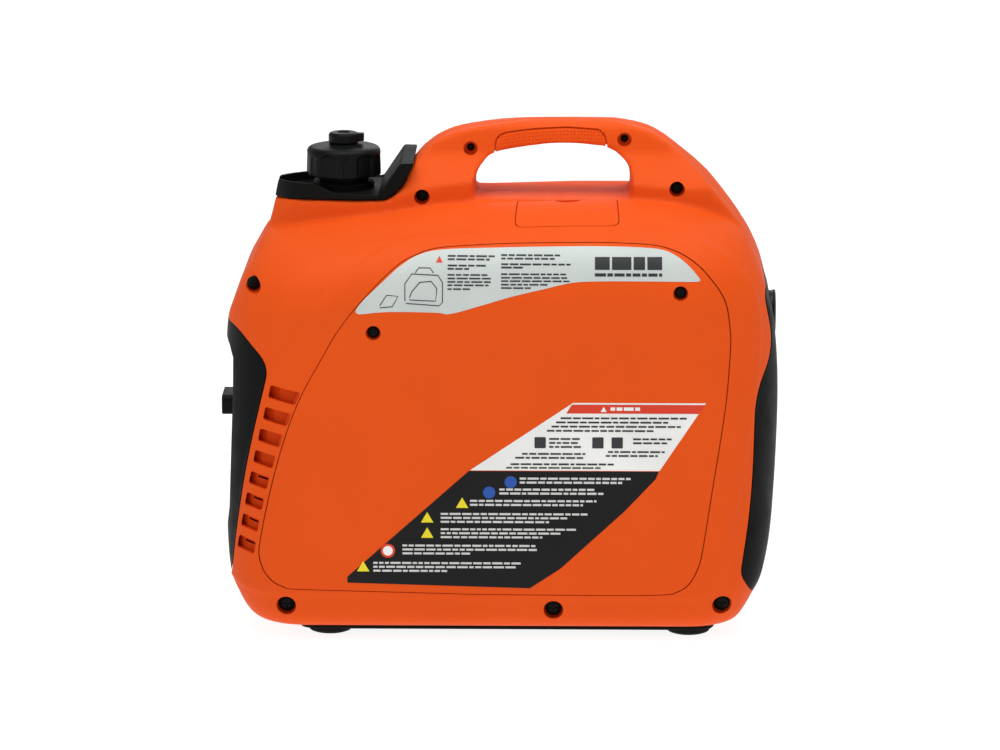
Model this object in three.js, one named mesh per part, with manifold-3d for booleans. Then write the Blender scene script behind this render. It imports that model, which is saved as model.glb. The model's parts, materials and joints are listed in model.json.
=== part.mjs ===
// Suitcase-style inverter generator: two moulded side shells that form the carrying handle between them,
// a black control end, a black louvred exhaust end, and the engine, alternator and inverter inside.
// Millimetres, +Z up, +X towards the exhaust end, -Y towards the service side.
// Origin: centre of the footprint.
import * as THREE from 'three';
import { mergeVertices } from 'three/addons/utils/BufferGeometryUtils.js';
import Module from 'manifold-3d';

const wasm = await Module();
wasm.setup();

// ---------------------------------------------------------------- driving dimensions
const HALF_LENGTH = 250;
const HALF_WIDTH = 145;
const HANDLE_TOP = 452;
const WALL = 3.2;
const GAP = 0.4;
const SHELL_BOTTOM = 10;
const TRAY_BOTTOM = 6;
const CREST = 384.5;
const CREST_HALF = 45;
const SHOULDER_START = 315;
const DROP_START = 250;
const PLAN_CORNER = 0.5;

const CRANK = { x: 60, z: 115 };
const CAP = { x: -141, z: 400, r: 34 };
const OUTLET = { z: 273.5, r: 20 };
const PANEL_X = -233;
const GRIP = { x: 95, z: 215 };

// A point on the axis of each round part; the other coordinate is the one its rod runs along.
const CRANK_LINE = [CRANK.x, 0, CRANK.z];
const PLUG_LINE = [CRANK.x, 0, 264];
const INTAKE_LINE = [0, -15, 214];
const MUFFLER_INLET = [0, -10, 262];
const OIL_LINE = [98, 0, 82];
const CAP_LINE = [CAP.x, 0, 0];
const GRIP_LINE = [GRIP.x, 0, GRIP.z];
const OUTLET_LINE = [0, 0, OUTLET.z];

// Facets round a circle: large, ordinary and small rounds.
const LARGE = 24;
const FINE = 16;
const SMALL = 10;

// ---------------------------------------------------------------- materials
const paint = (color, roughness, metalness = 0) =>
  new THREE.MeshStandardMaterial({ color, roughness, metalness });
const ORANGE = paint(0xe0521c, 0.45);
const BLACK = paint(0x1c1f1e, 0.55);
const RUBBER = paint(0x121212, 0.9);
const STEEL = paint(0x8d9091, 0.35, 1);
const ALUMINIUM = paint(0xb5b8ba, 0.45, 1);
const DARK_STEEL = paint(0x2a2a2b, 0.5, 0.8);
const COPPER = paint(0xa8612f, 0.4, 1);
const TANK_PLASTIC = paint(0x23262a, 0.5);
const GREEN_LENS = paint(0x2f8f3f, 0.2);
const RED_LENS = paint(0xb3231c, 0.2);
const AMBER_LENS = paint(0xd08a1e, 0.2);
const RED_BUTTON = paint(0xa62a20, 0.5);
const CLEAR_GREY = paint(0xb9bdb8, 0.3);

// ---------------------------------------------------------------- solids from three.js geometry
function solid(geometry) {
  const bare = geometry.index ? geometry.toNonIndexed() : geometry.clone();
  for (const name of ['normal', 'uv']) bare.deleteAttribute(name);
  const merged = mergeVertices(bare, 1e-4);
  return new wasm.Manifold(new wasm.Mesh({
    numProp: 3,
    vertProperties: merged.attributes.position.array,
    triVerts: new Uint32Array(merged.index.array),
  }));
}

function geometryOf(made) {
  const mesh = made.getMesh();
  const geometry = new THREE.BufferGeometry();
  geometry.setAttribute('position', new THREE.BufferAttribute(new Float32Array(mesh.vertProperties), 3));
  geometry.setIndex(new THREE.BufferAttribute(new Uint32Array(mesh.triVerts), 1));
  geometry.computeVertexNormals();
  return geometry;
}

// The biggest body of a cut solid: slivers that a cut leaves behind are dropped.
const biggest = (made) => made.decompose().sort((a, b) => b.volume() - a.volume())[0];
const repeat = (count, make) => Array.from({ length: count }, (_, i) => make(i));
const cutAll = (made, cutters) => cutters.reduce((left, cutter) => left.subtract(cutter), made);
const joinAll = (pieces) => pieces.reduce((sum, piece) => sum.add(piece));

function box([x0, x1], [y0, y1], [z0, z1]) {
  const geometry = new THREE.BoxGeometry(x1 - x0, y1 - y0, z1 - z0);
  return solid(geometry.translate((x0 + x1) / 2, (y0 + y1) / 2, (z0 + z1) / 2));
}

// A cylinder or cone along an axis, from its first end to its second.
function rod(axis, from, to, r, at, sides = FINE, endR = r) {
  const geometry = new THREE.CylinderGeometry(endR, r, to - from, sides).translate(0, (from + to) / 2, 0);
  if (axis === 'x') geometry.rotateZ(-Math.PI / 2);
  if (axis === 'z') geometry.rotateX(Math.PI / 2);
  return solid(geometry.translate(...at));
}

// A span of y on one side of the body, from the inner distance to the outer one.
const outward = (side, inner, outer) => (side < 0 ? [-outer, -inner] : [inner, outer]);

const ring = (axis, from, to, outer, inner, at, sides = FINE) =>
  rod(axis, from, to, outer, at, sides).subtract(rod(axis, from - 1, to + 1, inner, at, sides));

const shapeOf = (points) => new THREE.Shape(points.map(([a, b]) => new THREE.Vector2(a, b)));

// Extrusions of an outline: XZ outlines run along Y, XY outlines along Z and YZ outlines along X.
function prismY(points, y0, y1) {
  const geometry = new THREE.ExtrudeGeometry(shapeOf(points), { depth: y1 - y0, bevelEnabled: false });
  return solid(geometry.rotateX(Math.PI / 2).translate(0, y1, 0));
}

function prismZ(points, z0, z1) {
  const geometry = new THREE.ExtrudeGeometry(shapeOf(points), { depth: z1 - z0, bevelEnabled: false });
  return solid(geometry.translate(0, 0, z0));
}

function prismX(points, x0, x1) {
  const geometry = new THREE.ExtrudeGeometry(shapeOf(points), { depth: x1 - x0, bevelEnabled: false });
  return solid(geometry.rotateX(Math.PI / 2).rotateZ(Math.PI / 2).translate(x0, 0, 0));
}

// A closed body through a list of rings with equal point counts, first ring lowest.
function loft(given) {
  const flat = given[0].map(([x, y]) => new THREE.Vector2(x, y));
  const turned = THREE.ShapeUtils.isClockWise(flat);
  if (turned) flat.reverse();
  const rings = turned ? given.map((points) => [...points].reverse()) : given;
  const count = rings[0].length;
  const corners = [];
  const triangle = (...three) => three.forEach((point) => corners.push(...point));
  for (let level = 0; level + 1 < rings.length; level++) {
    for (let i = 0; i < count; i++) {
      const [a, b] = [rings[level][i], rings[level][(i + 1) % count]];
      const [c, d] = [rings[level + 1][i], rings[level + 1][(i + 1) % count]];
      triangle(a, b, d);
      triangle(a, d, c);
    }
  }
  const last = rings[rings.length - 1];
  for (const [i, j, k] of THREE.ShapeUtils.triangulateShape(flat, [])) {
    triangle(rings[0][i], rings[0][k], rings[0][j]);
    triangle(last[i], last[j], last[k]);
  }
  const geometry = new THREE.BufferGeometry();
  geometry.setAttribute('position', new THREE.Float32BufferAttribute(corners, 3));
  return solid(geometry);
}

// ---------------------------------------------------------------- outlines
// A polygon with its corners rounded. Each point is [a, b] or [a, b, radius].
function rounded(points, radius, steps = 4) {
  const path = new THREE.Path();
  points.forEach((point, i) => {
    const here = new THREE.Vector2(point[0], point[1]);
    const before = new THREE.Vector2(...points[(i + points.length - 1) % points.length]);
    const after = new THREE.Vector2(...points[(i + 1) % points.length]);
    const r = point[2] ?? radius;
    const toward = (other) => here.clone().lerp(other, Math.min(0.48, r / here.distanceTo(other)));
    const [start, end] = [toward(before), toward(after)];
    if (i === 0) path.moveTo(start.x, start.y);
    else path.lineTo(start.x, start.y);
    path.quadraticCurveTo(here.x, here.y, end.x, end.y);
  });
  return path.getPoints(steps).map(({ x, y }) => [x, y]);
}

const rectangle = ([a0, a1], [b0, b1], radius) => rounded([[a0, b0], [a1, b0], [a1, b1], [a0, b1]], radius);

// A smooth open stretch through its points.
function through(points, steps) {
  const curve = new THREE.SplineCurve(points.map(([a, b]) => new THREE.Vector2(a, b)));
  return curve.getPoints(steps).map(({ x, y }) => [x, y]);
}

const circle = (r, count) => repeat(count, (i) => {
  const angle = (i / count) * 2 * Math.PI;
  return [r * Math.cos(angle), r * Math.sin(angle)];
});
const shifted = (points, dx, dz = 0) => points.map(([x, z]) => [x + dx, z + dz]);
const grown = (points, [cx, cz], kx, kz) => points.map(([x, z]) => [cx + (x - cx) * kx, cz + (z - cz) * kz]);
const mirrored = (points) => [...points, ...points.slice(1, -1).reverse().map(([x, y]) => [x, -y])];

// The top of the handle is level between these two ends.
const FLAT_TOP = [42, 96];

// Side view of the raised spine: filler tower, handle and the slope down to the exhaust end.
const SPINE_SIDE = [
  [-196, 290], [-218, 334], [-209, 354], [-205, 368], [-203, 379.5], [-150, 383.5], [-101, 385],
  ...through([[-94, 388.5], [-86, 396.5], [-79, 410], [-66, 425], [-45, 438.5], [-15, 446], [18, 450.8]], 12),
  ...FLAT_TOP.map((x) => [x, HANDLE_TOP]),
  ...through([[112, 450.6], [138, 441], [172, 413], [202, 380], [222, 352], [233, 326]], 14),
  [215, 290],
];

// Plan view of the spine: a long boat shape, pointed at the filler end.
const SPINE_PLAN = mirrored(through([
  [-216, 0], [-208, 15], [-186, 28], [-145, 47], [-100, 54], [-40, 46], [60, 41], [140, 48],
  [190, 48], [222, 34], [236, 0],
], 30));

// End view of the spine: wide at the shoulder, as thin as a hand grip at the top.
const SPINE_SECTION = [
  [-60, 280], [60, 280], [60, 386], [50, 398], [32, 416], [23, 430], [20, 444], [13, HANDLE_TOP],
  [-13, HANDLE_TOP], [-20, 444], [-23, 430], [-32, 416], [-50, 398], [-60, 386],
];

const OPENING = [
  ...through([[-21.5, CREST], [-21, 402], [-14, 415], [-3, 423], [35, 429.5], [62, 431], [94, 428.5]], 14),
  ...through([[104, 424], [114, 414], [117, 402], [116.5, CREST]], 6),
];
const OPENING_CENTRE = [48, 411];

// Border between the black control end and the orange shells, seen from the side.
const CONTROL_END = rounded([
  [-260, 284, 1], [-243, 284, 6], [-231, 281, 10], [-202, 252, 14], [-223, 166, 60], [-234, 100, 60],
  [-239, 56, 20], [-246, 38, 4], [-260, 38, 1],
], SMALL);

// Border between the black exhaust end and the orange shells.
const EXHAUST_END = rounded([
  [260, 34, 1], [232, 34, 2], [217, 62, 14], [227, 130, 60], [229, 225, 20], [246, 262, 24],
  [237, 308, 8], [241, 318, 3], [260, 318, 1],
], SMALL);

const SERVICE_PANEL = rounded([
  [-194, 51, 30], [163, 46, 30], [184, 90, 60], [206, 262, 40], [201, 312, 50], [158, 359, 60],
  [60, 361, 90], [-70, 356, 60], [-118, 317, 90], [-172, 228, 90], [-200, 145, 90], [-213, 84, 30],
], 30, 5);

const HATCH_PLAN = rounded([[14, -101, 8], [108, -101, 8], [106, -40, 2], [16, -40, 2]], 4, 3);

// ---------------------------------------------------------------- body envelope
// How far the top of the body falls away towards each end.
function crestDrop(x) {
  if (x < 0) return 30 * (Math.max(0, -20 - x) / 189) ** 1.5;
  return 17 * (Math.max(0, x - 125) / 79) ** 2;
}

// Half-width of the body on the shoulder between the side wall and the crest.
function shoulderHalf(z) {
  const t = Math.min(1, Math.max(0, (z - SHOULDER_START) / (CREST - SHOULDER_START)));
  return CREST_HALF + (HALF_WIDTH - CREST_HALF) * Math.sqrt(1 - t * t);
}

// Each level: height, half-width, control end, exhaust end.
const LEVELS = [
  [SHELL_BOTTOM, 121, -206, 204], [14, 131, -216, 213], [33, 141, -232, 227],
  [58, HALF_WIDTH, -241, 238], [110, HALF_WIDTH, -244.5, 246],
  [214, HALF_WIDTH, -244.5, HALF_LENGTH], [288, HALF_WIDTH, -242, 246],
  [SHOULDER_START, HALF_WIDTH, -237, 242], [343, 0, -230, 237], [362, 0, -222, 230],
  [376, 0, -215, 222], [CREST, 0, -208, 212],
].map(([z, half, left, right]) => [z, half || shoulderHalf(z), left, right]);

function levelRing([z0, half, left, right], inset) {
  const bottom = SHELL_BOTTOM;
  const share = (z0 - bottom) / (CREST - bottom);
  const z = z0 + inset * (1 - 2 * share);
  const w = half - inset;
  const [x0, x1] = [left + inset, right - inset];
  const corner = w * PLAN_CORNER;
  const points = [];
  const arc = (cx, cy, from) => {
    for (let i = 0; i <= 4; i++) {
      const a = from + (i / 4) * (Math.PI / 2);
      points.push([cx + corner * Math.cos(a), cy + corner * Math.sin(a)]);
    }
  };
  const along = (from, to, y) => {
    for (let i = 1; i < 6; i++) points.push([from + (to - from) * (i / 6), y]);
  };
  arc(x0 + corner, -w + corner, Math.PI);
  along(x0 + corner, x1 - corner, -w);
  arc(x1 - corner, -w + corner, -Math.PI / 2);
  arc(x1 - corner, w - corner, 0);
  along(x1 - corner, x0 + corner, w);
  arc(x0 + corner, w - corner, Math.PI / 2);
  const rise = Math.max(0, (z0 - DROP_START) / (CREST - DROP_START));
  const weight = rise * rise * (3 - 2 * rise);
  return points.map(([x, y]) => [x, y, z - weight * crestDrop(x)]);
}

const bodyVolume = (inset) => loft(LEVELS.map((level) => levelRing(level, inset)));

function spineVolume() {
  return prismY(SPINE_SIDE, -70, 70)
    .intersect(prismZ(SPINE_PLAN, 280, 460))
    .intersect(prismX(SPINE_SECTION, -260, 260));
}

// The hand opening, flared on both sides so that the hand meets no edge.
function openingVolume() {
  const flare = (side) => {
    const near = OPENING.map(([x, z]) => [x, z, 17]);
    const far = grown(OPENING, OPENING_CENTRE, 1.2, 1.55).map(([x, z]) => [x, Math.max(z, CREST), 75]);
    const made = loft([near, far]);
    return made.rotate([90, 0, 0]).scale([1, -side, 1]);
  };
  return joinAll([prismY(OPENING, -90, 90), flare(1), flare(-1)]);
}

const TOWER_WELL = prismZ(grown(SPINE_PLAN, [-130, 0], 0.93, 0.9), 330, 400)
  .intersect(box([-196, -93], [-60, 60], [330, 400]));

const opening = openingVolume();
const envelope = bodyVolume(0).add(spineVolume()).subtract(opening);
const cavity = bodyVolume(WALL);
const skin = envelope.subtract(cavity).subtract(TOWER_WELL);

const halfSpace = (side) => box([-300, 300], outward(side, GAP / 2, 200), [-20, 500]);

// ---------------------------------------------------------------- fastener pockets and vents
// Each pocket: its centre seen from the side, and how far its floor is from the middle of the body.
const POCKETS = [
  { at: [-26, 426], r: 6.4, floor: 10 }, { at: [112, 435], r: 6.4, floor: 10 },
  { at: [-68, 390], r: 7, floor: 22 }, { at: [160, 396], r: 7, floor: 22 },
  { at: [-217, 316], r: 8.5, floor: 90 },
];
const FOOT_SCREWS = [
  { at: [-188, 34], floor: 122 }, { at: [50, 32], floor: 129 }, { at: [200, 33], floor: 108 },
];
const VENT_COUNT = 8;
const PANEL_SCREWS = [[-109, 283], [161, 319]];
const SCREW_POCKET = 8.5;

function ventOutline(i) {
  const z = 235 - 20.1 * i;
  const left = (h) => -200 - (235 - h) * 0.215 - 1.5 * Math.sin((i / 7) * Math.PI);
  const right = (h) => -173.5 - (229 - h) * 0.44 + ((229 - h) / 140) ** 2 * 20;
  return rounded([
    [left(z - 11.5), z - 11.5], [right(z - 17), z - 17], [right(z - 5.5), z - 5.5], [left(z), z],
  ], 2.5, 2);
}

const vents = (side) => repeat(VENT_COUNT, (i) => prismY(ventOutline(i), ...outward(side, 90, 200)));

function pocketCutters(side) {
  const hole = ([x, z], floor, r) => rod('y', ...outward(side, floor, 200), r, [x, 0, z], SMALL);
  return [
    ...POCKETS.map(({ at, r, floor }) => hole(at, floor, r)),
    ...FOOT_SCREWS.map(({ at, floor }) => hole(at, floor, SCREW_POCKET)),
  ];
}

// ---------------------------------------------------------------- the two side shells
const bottomWell = box([-166, 186], [-92, 92], [0, 30]);
const endRegions = [
  prismY(shifted(CONTROL_END, GAP), -200, 200), prismY(shifted(EXHAUST_END, -GAP), -200, 200),
];

// Posts behind the screw pockets, joined to the shell.
function bosses(side) {
  const post = ([x, z], inner, outer) => rod('y', ...outward(side, inner, outer), 11, [x, 0, z], SMALL);
  const behind = ({ at, floor }) => post(at, floor - 9, floor + 12);
  return joinAll([...FOOT_SCREWS, POCKETS.at(-1)].map(behind)).intersect(envelope);
}

function shell(side) {
  const halved = skin.add(bosses(side)).intersect(halfSpace(side));
  return cutAll(halved, [...endRegions, bottomWell, ...pocketCutters(side), ...vents(side)]);
}

const panelPrism = prismY(SERVICE_PANEL, -200, -60);
const hatchPrism = prismZ(HATCH_PLAN, 340, 420);
const panelCentre = [0, 200];
const panelInner = prismY(grown(SERVICE_PANEL, panelCentre, 0.9975, 0.997), -200, -60);
const hatchInner = prismZ(grown(HATCH_PLAN, [61, -70], 0.99, 0.98), 340, 420);
const outerSkin = envelope.subtract(cavity);

function rearShell() {
  return biggest(cutAll(shell(-1), [panelPrism, hatchPrism]));
}

const GRIP_HOLE = { x: [41, 149], z: [191, 239], corner: 10 };
const within = ([from, to], margin) => [from + margin, to - margin];
const gripHoleOutline = (margin) =>
  rectangle(within(GRIP_HOLE.x, margin), within(GRIP_HOLE.z, margin), GRIP_HOLE.corner);
const gripPocket = prismY(gripHoleOutline(0), 120, 200);

function frontShell() {
  return biggest(shell(1).subtract(gripPocket));
}

function servicePanel() {
  const plate = outerSkin.intersect(panelInner).intersect(halfSpace(-1));
  const pockets = PANEL_SCREWS.map(([x, z]) => rod('y', -200, -120, 3.2, [x, 0, z], SMALL));
  const counterbores = PANEL_SCREWS.map(([x, z]) => rod('y', -200, -137, 6.5, [x, 0, z], SMALL));
  const posts = PANEL_SCREWS.map(([x, z]) => rod('y', -143, -128, 9, [x, 0, z], SMALL).intersect(envelope));
  return biggest(cutAll(joinAll([plate, ...posts]), [...pockets, ...counterbores]));
}

function sparkPlugHatch() {
  const notch = new THREE.SphereGeometry(16, 16, 10).scale(1, 0.5, 0.25).translate(61, -40, CREST + 2);
  return biggest(outerSkin.intersect(hatchInner).intersect(halfSpace(-1)).subtract(solid(notch)));
}

// ---------------------------------------------------------------- control end
const PANEL_SPAN = { y: 82, z: [66, 246] };
// What the stepped face takes off the end, so that the panel and its switches sit in a recess.
const faceCut = prismY([
  [-260, 88], [-244.6, 88], [-241, 113], [-236, 220], [-235.5, 252], [-239, 262], [-244.6, 270], [-260, 270],
], -200, 200);

function controlCap() {
  const region = prismY(CONTROL_END, -200, 200);
  const shellPart = envelope.subtract(faceCut).intersect(region).subtract(cavity.translate([10, 0, 0]));
  const window = box([-260, -200], [-PANEL_SPAN.y, PANEL_SPAN.y], PANEL_SPAN.z);
  return biggest(shellPart.subtract(window));
}

const DEVICES = {
  switch: { y: -34, z: 197, r: 24 },
  outlets: [{ y: -40, z: 112 }, { y: 6, z: 112 }],
  dc: { y: 52, z: 120 },
  breakerAc: { y: -17, z: 151 }, breakerDc: { y: 52, z: 151 },
  eco: { y: 44, z: 196 },
  lamps: [{ name: 'output_lamp', y: -20 }, { name: 'overload_lamp', y: 2 }, { name: 'oil_lamp', y: 24 }],
  lampZ: 230,
  ground: { y: 52, z: 84 },
};

function controlPanel() {
  const { y, z } = PANEL_SPAN;
  const plate = box([PANEL_X, PANEL_X + 3], [-y + GAP, y - GAP], [z[0] + GAP, z[1] - GAP]);
  const d = DEVICES;
  const cutOut = (r, at) => rod('x', PANEL_X - 5, PANEL_X + 8, r, [0, at.y, at.z], FINE);
  const window = (at, halfY, halfZ) =>
    box([PANEL_X - 5, PANEL_X + 8], [at.y - halfY, at.y + halfY], [at.z - halfZ, at.z + halfZ]);
  return cutAll(plate, [
    cutOut(10, d.switch), cutOut(5.4, d.breakerAc), cutOut(5.4, d.breakerDc), cutOut(3.4, d.ground),
    ...d.outlets.map((at) => window(at, 15.5, 13.5)), window(d.dc, 9, 9), window(d.eco, 10.5, 7),
    ...d.lamps.map(({ y: cy }) => rod('x', PANEL_X - 5, PANEL_X + 8, 4.4, [0, cy, d.lampZ], SMALL)),
  ]);
}

// Panel devices sit in their cut-outs with a thin flange in front of the plate.
function outlet({ y, z }) {
  const flange = box([PANEL_X - 2.6, PANEL_X - GAP], [y - 20, y + 20], [z - 17, z + 17]);
  const body = box([PANEL_X - GAP, PANEL_X + 26], [y - 15, y + 15], [z - 13, z + 13]);
  const slot = (cy, tall) =>
    box([PANEL_X - 6, PANEL_X + 12], [cy - 1, cy + 1], [z + 2 - tall / 2, z + 2 + tall / 2]);
  const earth = rod('x', PANEL_X - 6, PANEL_X + 12, 2.3, [0, y, z - 8], SMALL);
  return cutAll(flange.add(body), [slot(y - 6.2, 8), slot(y + 6.2, 9), earth]);
}

function dcSocket({ y, z }) {
  const flange = rod('x', PANEL_X - 2.6, PANEL_X - GAP, 13, [0, y, z], FINE);
  const body = box([PANEL_X - GAP, PANEL_X + 20], [y - 8.6, y + 8.6], [z - 8.6, z + 8.6]);
  const slot = (cy, w, tall) => box([PANEL_X - 6, PANEL_X + 12], [cy - w, cy + w], [z - tall, z + tall]);
  return cutAll(flange.add(body), [slot(y - 4, 1, 4), slot(y + 4, 3, 1)]);
}

function engineSwitch({ y, z, r }) {
  const disc = rod('x', PANEL_X - 4, PANEL_X - GAP, r, [0, y, z], LARGE, r - 1.5);
  const bar = prismX(rectangle([y - 21, y + 21], [z - 9, z + 9], 5), -HALF_LENGTH, PANEL_X - 3);
  const stem = rod('x', PANEL_X - GAP - 0.1, PANEL_X + 14, 6, [0, y, z], SMALL);
  return joinAll([disc, bar, stem]);
}

function ecoRocker({ y, z }) {
  const side = [[6, -5.8], [-2, -5.8], [-1.2, 0], [-4.4, 5.8], [6, 5.8]];
  return prismY(shifted(side, PANEL_X, z), y - 9, y + 9);
}

const pushButton = ({ y, z }) => rod('x', PANEL_X - 5.5, PANEL_X + 12, 5, [0, y, z], FINE, 5);
const lampLens = ({ y, z }) => rod('x', PANEL_X - 2.4, PANEL_X + 6, 4, [0, y, z], SMALL, 4);

function groundStud({ y, z }) {
  const stud = rod('x', PANEL_X - 14, PANEL_X + 12, 3, [0, y, z], SMALL);
  return stud.add(rod('x', PANEL_X - 1.8, PANEL_X - GAP, 8, [0, y, z], FINE));
}

function groundNut({ y, z }) {
  const wings = box([PANEL_X - 11, PANEL_X - 5], [y - 12, y + 12], [z - 2, z + 2]);
  const hub = rod('x', PANEL_X - 11, PANEL_X - 2.2, 6, [0, y, z], SMALL);
  return hub.add(wings).subtract(rod('x', PANEL_X - 20, PANEL_X + 5, 3.35, [0, y, z], SMALL));
}

// ---------------------------------------------------------------- exhaust end
function exhaustCap() {
  const region = prismY(EXHAUST_END, -200, 200);
  const plate = envelope.intersect(region).subtract(cavity);
  const slots = repeat(9, (i) => box([200, 260], [(i - 4) * 15 - 3.5, (i - 4) * 15 + 3.5], [72, 232]));
  return biggest(cutAll(plate, [...slots, rod('x', 200, 260, OUTLET.r + 3, OUTLET_LINE, LARGE)]));
}

// Tail tube with a lipped mouth and the spark arrester mesh behind it.
function exhaustOutlet() {
  const tube = ring('x', 214, 249.6, OUTLET.r, OUTLET.r - 3, OUTLET_LINE, LARGE);
  const arrester = rod('x', 236, 239, OUTLET.r - 1, OUTLET_LINE, LARGE);
  const holes = [[0, 0], ...circle(9.5, 6)];
  const perforations = holes.map(([y, z]) => rod('x', 230, 245, 3, [0, y, OUTLET.z + z], SMALL));
  return cutAll(tube.add(arrester), perforations);
}

// ---------------------------------------------------------------- filler: surround, neck, cap and vent lever
function tankSurround() {
  const side = [
    [-202, 380.3], [-150, 384.2], [-102, 385.5], [-95.6, 389.2], [-87.6, 397.2], [-81.4, 408], [-77, 417],
    [-88, 417], [-107, 390], [-147, 389.6], [-164, 396], [-200, 396],
  ];
  const body = prismY(side, -70, 70).intersect(prismZ(SPINE_PLAN, 360, 430));
  const bowl = prismZ(grown(SPINE_PLAN, [CAP.x, 0], 0.9, 0.86), 387.6, 420)
    .intersect(box([-195, -109], [-60, 60], [380, 420]));
  const notch = rod('z', 360, 420, 27.5, CAP_LINE, LARGE);
  const lip = [[-193, 378], [-150, 382], [-102, 383], [-102, 386.5], [-150, 386.5], [-193, 383]];
  const skirt = prismY(lip, -70, 70).intersect(TOWER_WELL.scale([1, 0.97, 1]));
  return biggest(cutAll(body.add(skirt), [bowl, notch]));
}

function fuelTank() {
  const outer = prismZ(rounded([[-186, -84], [-62, -100], [-62, 100], [-186, 84]], 22), 256, 334);
  const inner = prismZ(rounded([[-183, -81], [-65, -97], [-65, 97], [-183, 81]], FINE), 259, 331);
  const neck = rod('z', 333, 404, 22, CAP_LINE, LARGE);
  const bore = rod('z', 300, 410, 18.5, CAP_LINE, LARGE);
  return cutAll(outer.add(neck), [inner, bore]);
}

// The bayonet plate that stays in line with the neck while the cap shell turns on it.
function capCore() {
  const plug = rod('z', 392, 410, 17.6, CAP_LINE, LARGE);
  return plug.add(rod('z', 405.4, 410, 24, CAP_LINE, LARGE));
}

// Eight shallow lobes round a cup with a domed shoulder.
function fuelCap() {
  const lobes = 8;
  const outline = (k) => repeat(48, (i) => {
    const a = (i / 48) * 2 * Math.PI;
    const r = (CAP.r - 1.1 + 1.1 * Math.cos(lobes * a)) * k;
    return [CAP.x + r * Math.cos(a), r * Math.sin(a)];
  });
  const at = (z, k) => outline(k).map(([x, y]) => [x, y, z]);
  const profile = [[0, 0.985], [2, 1], [19, 0.99], [25, 0.92], [28, 0.78]];
  const outer = loft(profile.map(([rise, share]) => at(CAP.z + rise, share)));
  const hollow = rod('z', CAP.z - 2, CAP.z + 22, 29, CAP_LINE, LARGE);
  const spigot = ring('z', 410.4, CAP.z + 23, 20, 12, CAP_LINE, FINE);
  return outer.subtract(hollow).add(spigot);
}

function ventLever() {
  const z = CAP.z + 28 + GAP;
  const knob = rod('z', z, z + 9.6, 13.6, CAP_LINE, LARGE, 12.8);
  const lug = box([CAP.x + 9, CAP.x + 18.5], [-4, 4], [z + 1, z + 9.6]);
  return knob.add(lug).subtract(rod('z', z + 7.6, z + 12, 6, CAP_LINE, SMALL, 8));
}

// ---------------------------------------------------------------- base and feet
const FEET = [
  ['foot_rear_left', -151, -95], ['foot_rear_right', 171, -95],
  ['foot_front_left', -151, 95], ['foot_front_right', 171, 95],
];

const ENGINE_MOUNTS = [[18, -44], [102, -44], [18, 30], [102, 30]];
const TRAY_TOP = SHELL_BOTTOM - GAP;
const RIM_TOP = 26;
const POST_TOP = 38;

function baseTray() {
  const slab = prismZ(rectangle([-178, 194], [-119, 119], 14), TRAY_BOTTOM, TRAY_TOP);
  const rim = prismZ(rectangle([-165, 185], [-91, 91], 10), TRAY_TOP - 0.6, RIM_TOP);
  const inside = prismZ(rectangle([-161, 181], [-87, 87], 10), TRAY_TOP, RIM_TOP + 1);
  const posts = ENGINE_MOUNTS.map(([x, y]) => rod('z', TRAY_TOP - 0.6, POST_TOP, 11, [x, y, 0], SMALL));
  return joinAll([slab, rim.subtract(inside), ...posts]);
}

function foot(x, y) {
  const profile = [[0, 0], [16, 0], [20, 3.4], [20, 5.7], [0, 5.7]].map(([r, z]) => new THREE.Vector2(r, z));
  return solid(new THREE.LatheGeometry(profile, 28).rotateX(Math.PI / 2).translate(x, y, 0));
}

// ---------------------------------------------------------------- engine, starter and generator
const rubberMount = (x, y) => rod('z', POST_TOP + 0.3, 50, 10, [x, y, 0], SMALL);

function crankcase() {
  const outline = rounded([[6, 50.4], [116, 50.4], [122, 120], [108, 166], [14, 166], [-2, 120]], 14);
  const block = prismY(outline, -58, 36);
  const bore = rod('y', -50, 60, 10.6, CRANK_LINE, FINE);
  const crankSpace = rod('y', -40, 20, 36, CRANK_LINE, FINE);
  const cylinderHole = rod('z', 120, 180, 22, [CRANK.x, -10, 0], FINE);
  const oilHole = rod('y', -70, -40, 9.4, OIL_LINE, SMALL).add(rod('y', -41, -26, 3, OIL_LINE, SMALL));
  return cutAll(block, [bore, crankSpace, cylinderHole, oilHole]);
}

function cylinder() {
  const barrel = rod('z', 166.4, 248, 30, [CRANK.x, -10, 0], FINE);
  const fins = repeat(7, (i) => box([18, 102], [-50, 30], [172 + i * 11, 175 + i * 11]));
  return joinAll([barrel, ...fins]).subtract(rod('z', 150, 260, 22, [CRANK.x, -10, 0], FINE));
}

function cylinderHead() {
  const core = box([26, 94], [-44, 24], [248.4, 276]);
  const fins = repeat(3, (i) => box([16, 104], [-50, 30], [251 + i * 9, 254 + i * 9]));
  return joinAll([core, ...fins]).subtract(rod('y', -60, -20, 6.6, PLUG_LINE, SMALL));
}

const valveCover = () => prismZ(rectangle([28, 92], [-42, 22], SMALL), 276.4, 300);

function sparkPlug() {
  const body = rod('y', -52, -24, 6.2, PLUG_LINE, SMALL);
  const hex = rod('y', -60, -51, 9.5, PLUG_LINE, 6);
  return joinAll([body, hex, rod('y', -84, -59, 4.4, PLUG_LINE, SMALL)]);
}

const sparkPlugCap = () => ring('y', -92, -64, 9, 4.8, PLUG_LINE, SMALL)
  .add(rod('y', -96, -86, 9, PLUG_LINE, SMALL)).add(plugLead());

function carburettor() {
  const body = box([-22, 10], [-34, 4], [196, 232]);
  const bowl = rod('z', 178, 197, 14, [-6, -15, 0], FINE);
  const flanges = rod('x', -30, 17.6, 13, INTAKE_LINE, FINE);
  return joinAll([body, bowl, flanges]).subtract(rod('x', -40, 30, 8, INTAKE_LINE, SMALL));
}

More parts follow.
